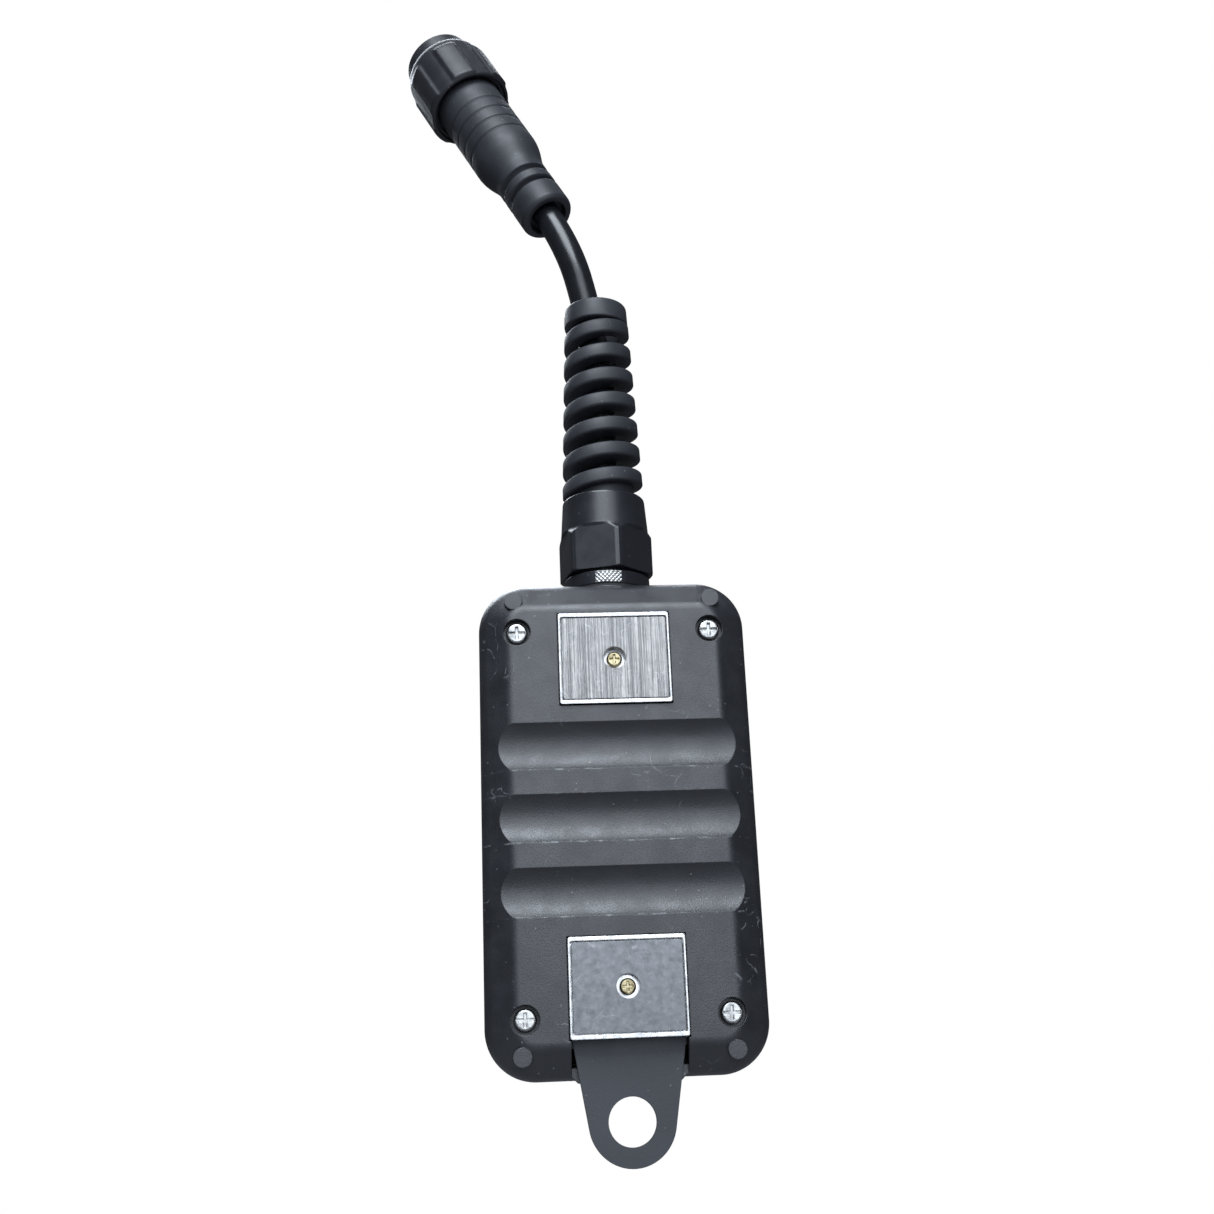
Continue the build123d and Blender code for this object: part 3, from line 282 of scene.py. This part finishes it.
def moulded(name, colour, low, high, grain_scale, grain, scuff=0.0, dust=0.0, lines=(), specular=0.5,
            scuff_scale=110.0):
    """Moulded plastic or rubber: colour with drifting shade, scuffs, dust and worn level lines, over a fine
    grain.  grain is the relief in metres."""
    colours = bpy.context.scene.pendant_colours
    material, w, shader, place = new_material(name)
    drift = w.between(w.noise(place, 60.0, 5.0, 0.6), 0.3, 0.7)
    shade = w.blend(drift, rgba([c * 0.86 for c in colour]), rgba([c * 1.12 for c in colour]))
    scuffs = w.group("scuffs", {"Vector": place, "Color": shade, "Scuff": rgba(colours.scuff),
                                "Scale": scuff_scale, "Amount": scuff, "Rare": 0.58})
    specks = w.group("dust", {"Vector": place, "Color": scuffs.outputs["Color"], "Dust": rgba(colours.dust),
                              "Scale": 520.0, "Amount": dust, "Rare": 0.80})
    paint, marks = specks.outputs["Color"], scuffs.outputs["Mask"]
    for level, amount in lines:
        worn = w.group("worn_line", {"Vector": place, "Level": level, "Width": 0.00045,
                                     "Amount": amount}).outputs["Mask"]
        paint = w.blend(worn, paint, rgba(colours.scuff))
    gloss = w.group("uneven_gloss", {"Vector": place, "Scale": 120.0, "Low": low, "High": high})
    grained = w.group("moulded_grain", {"Vector": place, "Scale": grain_scale, "Relief": 1.0})
    shader.inputs["Specular IOR Level"].default_value = specular
    w.tree.links.new(paint, shader.inputs["Base Color"])
    rough = w.math("ADD", gloss.outputs[0], w.times(marks, 0.2))
    w.tree.links.new(rough, shader.inputs["Roughness"])
    bump(w, shader, grained.outputs[0], grain)
    FINISHES[name] = material


def plated(name, colour, low, high, dark, tarnish=0.4, relief=0.00002, ground=0.0, scratch=0.0):
    """Plated or ground metal: tarnish patches darken the colour, ground lines run up the part, and scratches
    cross it."""
    material, w, shader, place = new_material(name)
    shader.inputs["Metallic"].default_value = 1.0
    patch = w.times(w.between(w.noise(place, 420.0, 5.0, 0.65), 0.42, 0.72), tarnish)
    paint = w.blend(patch, rgba(colour), rgba(dark))
    lines = w.group("ground_lines", {"Vector": place, "Scale": 2600.0, "Relief": 1.0})
    paint = w.blend(w.times(lines.outputs["Mask"], ground), paint, rgba(dark))
    bright = rgba([min(1, c * 1.5) for c in colour])
    marks = w.group("scuffs", {"Vector": place, "Color": paint, "Scuff": bright, "Scale": 160.0,
                               "Amount": scratch, "Rare": 0.45})
    gloss = w.group("uneven_gloss", {"Vector": place, "Scale": 500.0, "Low": low, "High": high})
    w.tree.links.new(marks.outputs["Color"], shader.inputs["Base Color"])
    w.tree.links.new(gloss.outputs[0], shader.inputs["Roughness"])
    bump(w, shader, w.times(lines.outputs["Height"], ground) if ground else
         w.noise(place, 900.0, 4.0), relief)
    FINISHES[name] = material


def clear(name, colour):
    """Coloured clear plastic with a faintly uneven polish."""
    material, w, shader, place = new_material(name)
    shader.inputs["Transmission Weight"].default_value = 0.75
    shader.inputs["IOR"].default_value = 1.49
    drift = w.between(w.noise(place, 200.0, 3.0), 0.3, 0.7)
    w.tree.links.new(w.blend(drift, rgba(colour), rgba([min(1, c * 1.2) for c in colour])),
                     shader.inputs["Base Color"])
    gloss = w.group("uneven_gloss", {"Vector": place, "Scale": 300.0, "Low": 0.08, "High": 0.16})
    w.tree.links.new(gloss.outputs[0], shader.inputs["Roughness"])
    FINISHES[name] = material


GROOVE_EDGES = ((-0.0298, 0.5), (-0.0488, 0.6), (-0.0678, 0.6), (-0.0362, 0.25))


def make_finishes():
    """Makes a material for every slot of the record, in FINISHES."""
    c = bpy.context.scene.pendant_colours
    moulded("case_plastic", c.case, 0.36, 0.48, 2300.0, 0.00005, 0.45, 0.45, GROOVE_EDGES, 0.85)
    moulded("cover_plastic", c.case, 0.36, 0.48, 2300.0, 0.00005, 0.3, 0.4, (), 0.85)
    moulded("gasket_rubber", (0.018, 0.018, 0.019), 0.6, 0.7, 1500.0, 0.00002)
    moulded("tab_rubber", c.tab, 0.55, 0.68, 1700.0, 0.00004, 0.1, 0.4)
    moulded("gland_nylon", c.gland, 0.28, 0.36, 900.0, 0.00001, 0.15, 0.2, (), 0.6)
    moulded("guard_nylon", c.guard, 0.46, 0.58, 1400.0, 0.00002, 0.1, 0.35)
    moulded("cable_sheath", c.sheath, 0.22, 0.30, 500.0, 0.00001, 0.1, 0.2)
    moulded("core_insulation", (0.30, 0.14, 0.06), 0.3, 0.4, 700.0, 0.00001)
    moulded("plug_rubber", c.boot, 0.46, 0.56, 1500.0, 0.00003, 0.15, 0.3)
    moulded("plug_plastic", c.plug, 0.38, 0.48, 1500.0, 0.00002, 0.2, 0.3)
    moulded("coupling_plastic", c.plug, 0.38, 0.48, 1500.0, 0.00002, 0.2, 0.3)
    moulded("bezel_plastic", (0.022, 0.022, 0.025), 0.28, 0.36, 900.0, 0.00001, 0.1, 0.2)
    moulded("contact_block_plastic", (0.06, 0.14, 0.08), 0.45, 0.55, 900.0, 0.00002)
    moulded("stop_yellow", c.plate, 0.30, 0.40, 900.0, 0.00001, 0.15, 0.15)
    moulded("stop_red", c.stop, 0.26, 0.34, 900.0, 0.00001, 0.15, 0.15)
    moulded("plunger_plastic", (0.55, 0.55, 0.50), 0.35, 0.45, 900.0, 0.00001)
    moulded("button_white", (0.62, 0.62, 0.59), 0.30, 0.38, 900.0, 0.00001, 0.1, 0.1)
    moulded("button_green", (0.02, 0.27, 0.07), 0.30, 0.38, 900.0, 0.00001, 0.1, 0.1)
    moulded("button_black", (0.022, 0.022, 0.025), 0.30, 0.38, 900.0, 0.00001, 0.1, 0.1)
    moulded("board_laminate", (0.02, 0.12, 0.05), 0.35, 0.45, 900.0, 0.00001)
    plated("zinc_screw", (0.50, 0.50, 0.49), 0.20, 0.34, (0.16, 0.16, 0.16), 0.8)
    plated("brass_insert", (0.72, 0.52, 0.22), 0.25, 0.35, (0.40, 0.28, 0.12))
    plated("gold_contact", (0.85, 0.62, 0.25), 0.15, 0.25, (0.6, 0.42, 0.16))
    plated("magnet_cup_steel", (0.62, 0.62, 0.62), 0.14, 0.30, (0.20, 0.20, 0.21), 0.6)
    plated("upper_magnet_face", (0.40, 0.39, 0.38), 0.30, 0.42, (0.15, 0.15, 0.155),
           0.35, 0.00012, 1.0, 0.5)
    plated("lower_magnet_face", (0.175, 0.18, 0.19), 0.26, 0.38, (0.09, 0.095, 0.10),
           0.5, 0.00002, 0.0, 0.9)
    plated("yellow_zinc_screw", (0.48, 0.42, 0.26), 0.20, 0.32, (0.14, 0.11, 0.05), 0.8)
    plated("spring_steel", (0.55, 0.55, 0.56), 0.20, 0.30, (0.35, 0.35, 0.36))
    clear("green_lens", (0.08, 0.55, 0.15))
    clear("red_lens", (0.62, 0.05, 0.04))
    clear("led_resin", (0.85, 0.85, 0.82))


def finish_nodes(nodes):
    """Gives each of these CAD nodes the material of its slot in the record."""
    slots = {row["node"]: row["material_slot"] for row in frame["record"]["subparts"]}
    for name in nodes:
        obj = frame["nodes"][name]
        material = FINISHES[slots[name]]
        if not obj.material_slots:
            obj.data.materials.append(material)
        for entry in obj.material_slots:
            entry.material = material


# ---- stage --------------------------------------------------------------------------------------
CAMERA_PLACE = Vector((0.02829, 0.38603, -0.10671))
CAMERA_LOOK = Vector((-0.06604, -0.95229, 0.29796))
CAMERA_UP = Vector((-0.01996, 0.29981, 0.95379))
SENSOR_WIDTH = 36.0


def add_camera():
    """A camera whose axes are the look direction, the upward direction and their cross product."""
    look = CAMERA_LOOK.normalized()
    right = look.cross(CAMERA_UP).normalized()
    up = right.cross(look)
    data = bpy.data.cameras.new("camera")
    data.lens = bpy.context.scene.pendant_sizes.lens
    data.sensor_width, data.clip_start = SENSOR_WIDTH, 0.01
    camera = bpy.data.objects.new("camera", data)
    turn = Matrix((right, up, -look)).transposed().to_4x4()
    camera.matrix_world = Matrix.Translation(CAMERA_PLACE) @ turn
    bpy.context.scene.collection.objects.link(camera)
    bpy.context.scene.camera = camera


def add_softbox(name, place, aim, width, height, power, colour=(1.0, 1.0, 1.0)):
    """A rectangular area light at place that faces aim."""
    data = bpy.data.lights.new(name, "AREA")
    data.shape, data.size, data.size_y, data.energy, data.color = "RECTANGLE", width, height, power, colour
    light = bpy.data.objects.new(name, data)
    away = (Vector(place) - Vector(aim)).to_track_quat("Z", "Y")
    light.matrix_world = Matrix.Translation(Vector(place)) @ away.to_matrix().to_4x4()
    bpy.context.scene.collection.objects.link(light)


def add_world():
    """Plain white behind everything, with a dimmer even light from all round."""
    world = bpy.data.worlds.new("studio")
    world.use_nodes = True
    tree = world.node_tree
    tree.nodes.clear()
    w = Wiring(tree)
    seen = w.put("ShaderNodeBackground", {"Color": (1.0, 1.0, 1.0, 1.0), "Strength": 1.0})
    fill = w.put("ShaderNodeBackground", {"Color": (0.86, 0.92, 1.0, 1.0), "Strength": 0.07})
    pick = w.put("ShaderNodeMixShader", {0: w.put("ShaderNodeLightPath").outputs["Is Camera Ray"],
                                         1: fill.outputs[0], 2: seen.outputs[0]})
    w.put("ShaderNodeOutputWorld", {0: pick.outputs[0]})
    bpy.context.scene.world = world


def disc_surface(radius, level, rings=24, steps=96):
    """A flat disc: ring share r and angle a give (r cos a, r sin a) times the radius, at one level."""
    share, angle = np.meshgrid(np.linspace(0.02, 1.0, rings),
                               np.linspace(0, 2 * np.pi, steps, endpoint=False), indexing="ij")
    points = np.stack([share * np.cos(angle), share * np.sin(angle), np.zeros_like(share)], -1) * radius
    points[..., 2] = level
    return points


# ---- numpy surfaces -----------------------------------------------------------------------------
def grid_mesh(name, points, round_rows=True, round_columns=False, caps=()):
    """A mesh from a grid of points, rows by columns by xyz.  round_rows joins each row's last point to its
    first, round_columns joins the last row to the first, and caps ("first", "last") close an end with one
    centre point."""
    rows, steps = points.shape[:2]
    verts = points.reshape(-1, 3)
    i, j = np.meshgrid(np.arange(rows if round_columns else rows - 1),
                       np.arange(steps if round_rows else steps - 1), indexing="ij")
    up, on = (i + 1) % rows, (j + 1) % steps
    faces = np.stack([i * steps + j, i * steps + on, up * steps + on, up * steps + j], -1).reshape(-1, 4)
    lists = faces.tolist()
    for cap in caps:
        row = 0 if cap == "first" else rows - 1
        centre = len(verts)
        verts = np.vstack([verts, points[row].mean(0)])
        ring = row * steps + np.arange(steps)
        after = np.roll(ring, -1)
        tri = np.stack([ring, after, np.full(steps, centre)], -1)
        lists += (tri[:, ::-1] if cap == "first" else tri).tolist()
    mesh = bpy.data.meshes.new(name)
    mesh.from_pydata(verts.tolist(), [], lists)
    mesh.validate()
    mesh.shade_smooth()
    obj = bpy.data.objects.new(name, mesh)
    bpy.context.scene.collection.objects.link(obj)
    return obj


def eased_profile(corners, reach, steps=5):
    """A closed outline with eased corners: each corner C becomes the curve (1-t)^2 A + 2t(1-t) C + t^2 B,
    with A and B at the given reach along the two sides that meet there."""
    c = np.asarray(corners, float)
    back, ahead = np.roll(c, 1, 0) - c, np.roll(c, -1, 0) - c
    lengths = np.stack([np.linalg.norm(back, axis=1), np.linalg.norm(ahead, axis=1)], 1)
    r = np.minimum(np.broadcast_to(reach, len(c)), 0.45 * lengths.min(1))[:, None]
    a, b = c + back / lengths[:, :1] * r, c + ahead / lengths[:, 1:] * r
    t = np.linspace(0, 1, steps)[None, :, None]
    curve = (1 - t) ** 2 * a[:, None] + 2 * t * (1 - t) * c[:, None] + t ** 2 * b[:, None]
    return curve.reshape(-1, 2)


def even_profile(outline, spacing):
    """The same closed outline with its points spread evenly, the spacing apart, along its length."""
    ring = np.vstack([outline, outline[:1]])
    along = np.concatenate([[0], np.cumsum(np.linalg.norm(np.diff(ring, axis=0), axis=1))])
    at = np.linspace(0, along[-1], max(8, int(along[-1] / spacing)), endpoint=False)
    return np.stack([np.interp(at, along, ring[:, 0]), np.interp(at, along, ring[:, 1])], 1)


def turned_points(radius, height, angle, place, axis=(0.0, 0.0, 1.0), start=(1.0, 0.0, 0.0)):
    """Points place + r (cos a u + sin a v) + h w, where w is the axis, u the start direction square to it
    and v their cross product."""
    w = np.asarray(axis, float) / np.linalg.norm(axis)
    u = np.asarray(start, float) - w * np.dot(start, w)
    u /= np.linalg.norm(u)
    v = np.cross(w, u)
    r, h, a = np.broadcast_arrays(radius, height, angle)
    return (np.asarray(place) + (r * np.cos(a))[..., None] * u + (r * np.sin(a))[..., None] * v
            + h[..., None] * w)


def smooth_step(value, low, high):
    """0 below low, 1 above high, and 3t^2 - 2t^3 between."""
    t = np.clip((value - low) / (high - low), 0, 1)
    return t * t * (3 - 2 * t)


def full_turn(steps):
    return np.linspace(0, 2 * np.pi, steps, endpoint=False)[None, :]


def add_piece(name, points, body, nodes, slot, **closing):
    """A grid of points as a piece that rides on a body and stands for these CAD nodes."""
    piece = grid_mesh(name, points * MM, **closing)
    piece.data.materials.append(FINISHES[slot])
    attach(piece, body)
    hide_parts(*nodes)
    return piece


def node_corners(name):
    """A node's lowest and highest corners in millimetres."""
    return [np.array(corner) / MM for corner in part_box(name)]


# ---- operators ----------------------------------------------------------------------------------
CORD_EXIT = (0.0, -0.0198, 0.0517)
CORD_POINTS = (CORD_EXIT, (0.0, -0.0198, 0.0722), (0.0002, -0.0199, 0.0937), (0.0021, -0.0203, 0.1132),
               (0.007513, -0.019341, 0.136304), (0.014419, -0.024027, 0.151114))


class PENDANT_OT_stage(bpy.types.Operator):
    """Adds the camera, the soft lights, the white surround and the pale floor, which is dark grey to all but
    camera rays as painted shade on the case's underside.
    """
    bl_idname = "pendant.stage"
    bl_label = "Stage"

    def execute(self, context):
        sizes = context.scene.pendant_sizes
        add_camera()
        add_world()
        context.scene.view_settings.view_transform = "Standard"
        cool = (0.84, 0.91, 1.0)
        add_softbox("front_softbox", (-0.08, 1.30, 0.42), (0.0, 0.0, 0.0), 1.2, 1.2, 12.0, cool)
        add_softbox("key_softbox", (0.15, 0.75, 1.05), (0.0, 0.0, 0.0), 0.8, 0.7, 18.0, cool)
        add_softbox("button_softbox", (0.30, -0.9, 1.2), (0.0, 0.0, 0.0), 1.0, 1.0, 24.0, cool)
        floor = grid_mesh("floor", disc_surface(sizes.floor_radius, sizes.floor_level), caps=("first",))
        material, w, shader, place = new_material("floor_paint")
        drift = w.between(w.noise(place, 3.0, 3.0), 0.3, 0.7)
        paint = w.blend(drift, (0.78, 0.79, 0.80, 1.0), (0.80, 0.81, 0.82, 1.0))
        # Painted shade: the floor is pale only to camera rays and dark grey to every other ray, so it throws
        # little light back up onto the underside of the case.
        seen = w.put("ShaderNodeLightPath").outputs["Is Camera Ray"]
        w.tree.links.new(w.blend(seen, (0.20, 0.20, 0.21, 1.0), paint), shader.inputs["Base Color"])
        shader.inputs["Roughness"].default_value = 0.7
        floor.data.materials.append(material)
        return {"FINISHED"}


class PENDANT_OT_cable(bpy.types.Operator):
    """Draws the cable as one smooth curve from the gland's mouth to the plug's boot."""
    bl_idname = "pendant.cable"
    bl_label = "Cable"

    def execute(self, context):
        diameter = context.scene.pendant_sizes.cord_diameter
        curve = bpy.data.curves.new("cable_sheath_run", "CURVE")
        curve.dimensions = "3D"
        spline = curve.splines.new("NURBS")
        spline.points.add(len(CORD_POINTS) - 1)
        for point, place in zip(spline.points, CORD_POINTS):
            point.co = (*place, 1.0)
        spline.order_u = 3
        spline.use_endpoint_u = True
        spline.resolution_u = 16
        curve.bevel_depth = diameter / 2
        curve.bevel_resolution = 12
        curve.use_fill_caps = True
        curve.materials.append(FINISHES["cable_sheath"])
        cord = bpy.data.objects.new("cable_sheath_run", curve)
        context.scene.collection.objects.link(cord)
        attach(cord, "handset")
        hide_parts("cable")
        return {"FINISHED"}


class PENDANT_OT_materials(bpy.types.Operator):
    """Builds the shared effects and one material for each slot of the record."""
    bl_idname = "pendant.materials"
    bl_label = "Materials"

    def execute(self, context):
        make_groups()
        make_finishes()
        return {"FINISHED"}


# Millimetres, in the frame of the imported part.
GLAND_AXIS = (0.0, -19.8, 0.0)
GUARD_BAND, GUARD_TURNS, GUARD_LIFT = 4.5, 7.0, 0.6
GUARD_BASE_R, GUARD_TAPER = 11.7, 2.5
GUARD_BORE_R, GUARD_FLARE = 4.45, 2.6
GUARD_RIM, GUARD_BAND_END = 6.3, 6.0


def add_guard_piece(name, points, **closing):
    """A piece of the bend guard."""
    add_piece(name, points, "handset", ["bend_guard"], "guard_nylon", **closing)


class PENDANT_OT_bend_guard(bpy.types.Operator):
    """Winds the guard's thick band up its cone and closes it with a rounded ring."""
    bl_idname = "pendant.bend_guard"
    bl_label = "Bend Guard"

    def execute(self, context):
        mouth, top = node_corners("gland_cap_nut")[1][2], node_corners("bend_guard")[1][2]
        add_guard_piece("guard_band", self.band(mouth, top) + np.array(GLAND_AXIS),
                        round_rows=True, caps=("first", "last"))
        self.turned_ring("guard_tip_ring", [(6.9, top - GUARD_RIM), (9.5, top - GUARD_RIM), (9.22, top),
                                            (6.9, top)], (0.3, 0.6, 1.8, 0.9), 7, 96)
        self.turned_ring("guard_spigot", [(5.6, mouth - 4), (9.0, mouth - 4), (9.0, mouth + 5.5),
                                          (5.6, mouth + 5.5)], 0.4, 5, 64)
        return {"FINISHED"}

    def turned_ring(self, name, corners, reach, curve_steps, steps):
        """An eased outline turned about the gland's axis."""
        ring = eased_profile(corners, reach, curve_steps)
        points = turned_points(ring[:, :1], ring[:, 1:], full_turn(steps), np.array(GLAND_AXIS))
        add_guard_piece(name, points, round_columns=True)

    def band(self, mouth, top):
        """Centre height rises evenly with the angle; across the band, s runs from the bore to the cone and
        the height offset follows an eased rectangle."""
        share = np.linspace(0, 1, 505)[:, None]
        rise = top - GUARD_BAND_END - mouth - GUARD_LIFT
        centre = mouth + GUARD_LIFT + GUARD_BAND / 2 + rise * share
        shape = eased_profile([(0, -0.5), (1, -0.5), (1, 0.5), (0, 0.5)], (0.05, 0.17, 0.17, 0.05), 7)
        across, offset = shape[None, :, 0], shape[None, :, 1] * GUARD_BAND
        height = centre + offset
        climb = np.clip((height - mouth) / (top - mouth), 0, 1)
        crown = 0.35 * np.cos(np.pi * shape[None, :, 1])
        outer = GUARD_BASE_R - GUARD_TAPER * climb + crown
        inner = GUARD_BORE_R + GUARD_FLARE * smooth_step(climb, 0.5, 1.0)
        radius = inner + (np.minimum(outer, GUARD_BASE_R) - inner) * across
        return turned_points(radius, height, 2 * np.pi * GUARD_TURNS * share, (0, 0, 0))


NUT_FLATS, NUT_HEX_TALL, NUT_CORNER_AT = 24.0, 12.0, 103.0   # the corner's angle is in degrees


class PENDANT_OT_gland_nut(bpy.types.Operator):
    """Makes the gland's cap nut: a hexagon whose corners are turned off to a dome, and a tapered sleeve."""
    bl_idname = "pendant.gland_nut"
    bl_label = "Gland Cap Nut"

    def execute(self, context):
        low, high = node_corners("gland_cap_nut")
        foot, mouth = low[2], high[2]
        sleeve = foot + NUT_HEX_TALL
        outline = eased_profile([(10.9, foot), (13.3, foot), (13.9, foot + 0.7), (13.9, sleeve - 1.3),
                                 (12.6, sleeve + 0.9), (12.5, sleeve + 1.4), (11.8, mouth), (9.4, mouth),
                                 (9.4, mouth - 4.0), (10.9, mouth - 4.0)],
                                (0.2, 0.3, 0.4, 1.6, 0.5, 0.5, 0.7, 0.2, 0.2, 0.2))
        outline = even_profile(outline, 0.32)
        angle, radius, height = full_turn(360), outline[:, :1], outline[:, 1:]
        turn = np.mod(angle - np.radians(NUT_CORNER_AT) + np.pi / 6, np.pi / 3) - np.pi / 6
        flat = NUT_FLATS / 2 / np.cos(np.pi / 6 - np.abs(turn))
        flat = np.minimum(flat, 13.62 - 0.25 * smooth_step(np.abs(turn), 0.0, 0.05))
        radius = np.where(height < sleeve + 0.9, np.minimum(radius, np.maximum(flat, 0)), radius)
        points = turned_points(radius, height, angle, GLAND_AXIS)
        add_piece("gland_nut", points, "handset", ["gland_cap_nut"], "gland_nylon", round_columns=True)
        return {"FINISHED"}


class PENDANT_OT_flange_knurl(bpy.types.Operator):
    """Adds the bright knurled strip on the gland's flange, facing the magnets."""
    bl_idname = "pendant.flange_knurl"
    bl_label = "Flange Knurl"

    def execute(self, context):
        """The strip's outer radius is 12.3 plus ridges |sin(k a + m h)| |sin(k a - m h)|, which cross at a
        slant."""
        foot = node_corners("gland_cap_nut")[0][2]
        low, high = foot - 4.5, foot - 1.1
        outline = even_profile(np.array([(11.9, low), (12.3, low), (12.3, high), (11.9, high)]), 0.16)
        radius, height = outline[None, :, 0], outline[None, :, 1]
        angle = np.radians(np.linspace(72.0, 106.0, 150))[:, None]
        slant = 2.6 * (height - low)
        ridges = np.abs(np.sin(34 * angle + slant)) * np.abs(np.sin(34 * angle - slant))
        radius = radius + np.where(radius > 12.2, 0.28 * ridges - 0.02, 0)
        points = turned_points(radius, height, angle, GLAND_AXIS)
        strip = grid_mesh("flange_knurl", points[:, ::-1] * MM, caps=("first", "last"))
        strip.data.materials.append(FINISHES["zinc_screw"])
        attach(strip, "handset")
        return {"FINISHED"}


PLUG_PLACE, PLUG_AXIS = (13.2, -23.2, 148.5), (0.406250, -0.275637, 0.871200)


class PENDANT_OT_plug_boot(bpy.types.Operator):
    """Makes the plug's boot: slotted tail, sloping shoulder and a barrel with fine grip grooves."""
    bl_idname = "pendant.plug_boot"
    bl_label = "Plug Boot"

    def execute(self, context):
        outline = eased_profile([(4.15, 3), (6.0, 3), (6.0, 0), (7.5, 0), (8.4, 1.2), (8.4, 21), (10.3, 27),
                                 (10.8, 30), (10.8, 61.3), (4.15, 61.3)],
                                (0.2, 0.3, 0.3, 0.4, 0.5, 2.0, 2.5, 1.5, 0.4, 0.2))
        outline = even_profile(outline, 0.27)
        radius, height, angle = outline[:, :1], outline[:, 1:], full_turn(120)
        outside = smooth_step(radius, 6.5, 7.0)
        open_side = smooth_step(np.abs(radius * np.cos(angle)), 1.0, 1.6)
        slots = sum(smooth_step(height, h - 0.1, h + 0.25) - smooth_step(height, h + 1.95, h + 2.3)
                    for h in (9.0, 14.6))
        grooves = sum(np.exp(-((height - 34.35 - 5.2 * k) / 0.32) ** 2) for k in range(4))
        radius = radius - outside * (2.3 * slots * open_side + 0.55 * grooves)
        points = turned_points(radius, height, angle, PLUG_PLACE, PLUG_AXIS, (0, 1, 0))
        add_piece("boot_body", points, "handset", ["plug_boot"], "plug_rubber", round_columns=True)
        return {"FINISHED"}


class PENDANT_OT_coupling_nut(bpy.types.Operator):
    """Makes the plug's coupling nut with six broad rounded grip lobes."""
    bl_idname = "pendant.coupling_nut"
    bl_label = "Coupling Nut"

    def execute(self, context):
        start, end = 58.4, 80.0
        outline = eased_profile([(12.5, start), (13.1, start), (13.6, start + 0.5), (13.6, end - 2),
                                 (12.7, end), (11.65, end), (11.65, 64.35), (12.35, 64.35),
                                 (12.35, 61.25), (11.35, 61.25), (11.35, 59.6), (12.5, 59.6)],
                                (0.2, 0.3, 0.4, 0.8, 0.4, 0.2, 0.2, 0.2, 0.2, 0.2, 0.2, 0.2))
        outline = even_profile(outline, 0.3)
        radius, height, angle = outline[:, :1], outline[:, 1:], full_turn(240)
        outside = smooth_step(radius, 13.3, 13.58)
        lobe = smooth_step(np.cos(6 * angle), -0.45, 0.25)
        along = smooth_step(height, start + 0.3, start + 1.3) - smooth_step(height, end - 5.2, end - 2.4)
        radius = radius + outside * lobe * along * 0.7
        points = turned_points(radius, height, angle, PLUG_PLACE, PLUG_AXIS, (0, 1, 0))
        add_piece("coupling_ring", points, "coupling_nut", ["coupling_nut"], "coupling_plastic",
                  round_columns=True)
        return {"FINISHED"}


class PENDANT_OT_carried_nodes(bpy.types.Operator):
    """Gives every carried-over part the material of its slot."""
    bl_idname = "pendant.carried_nodes"
    bl_label = "Carried-over Parts"

    def execute(self, context):
        finish_nodes(frame["nodes"])
        return {"FINISHED"}


class PENDANT_PT_panel(bpy.types.Panel):
    """Lists the pieces of the pendant with its sizes and colours."""
    bl_idname = "PENDANT_PT_panel"
    bl_label = "Pendant Control Station"
    bl_space_type = "VIEW_3D"
    bl_region_type = "UI"
    bl_category = "Pendant"

    def draw(self, context):
        for group in (context.scene.pendant_sizes, context.scene.pendant_colours):
            for key in group.__annotations__:
                self.layout.prop(group, key)
        for operator in OPERATORS:
            self.layout.operator(operator.bl_idname)


OPERATORS = (PENDANT_OT_stage, PENDANT_OT_materials, PENDANT_OT_cable, PENDANT_OT_bend_guard,
             PENDANT_OT_gland_nut, PENDANT_OT_flange_knurl, PENDANT_OT_plug_boot, PENDANT_OT_coupling_nut,
             PENDANT_OT_carried_nodes)
CLASSES = (PendantColours, PendantSizes, *OPERATORS, PENDANT_PT_panel)


def register():
    for cls in CLASSES:
        bpy.utils.register_class(cls)
    bpy.types.Scene.pendant_colours = PointerProperty(type=PendantColours)
    bpy.types.Scene.pendant_sizes = PointerProperty(type=PendantSizes)


def unregister():
    del bpy.types.Scene.pendant_colours
    del bpy.types.Scene.pendant_sizes
    for cls in reversed(CLASSES):
        bpy.utils.unregister_class(cls)


def main():
    """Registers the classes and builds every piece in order."""
    register()
    bpy.ops.pendant.stage()
    bpy.ops.pendant.materials()
    bpy.ops.pendant.cable()
    bpy.ops.pendant.bend_guard()
    bpy.ops.pendant.gland_nut()
    bpy.ops.pendant.flange_knurl()
    bpy.ops.pendant.plug_boot()
    bpy.ops.pendant.coupling_nut()
    bpy.ops.pendant.carried_nodes()


if __name__ == "__main__":
    main()
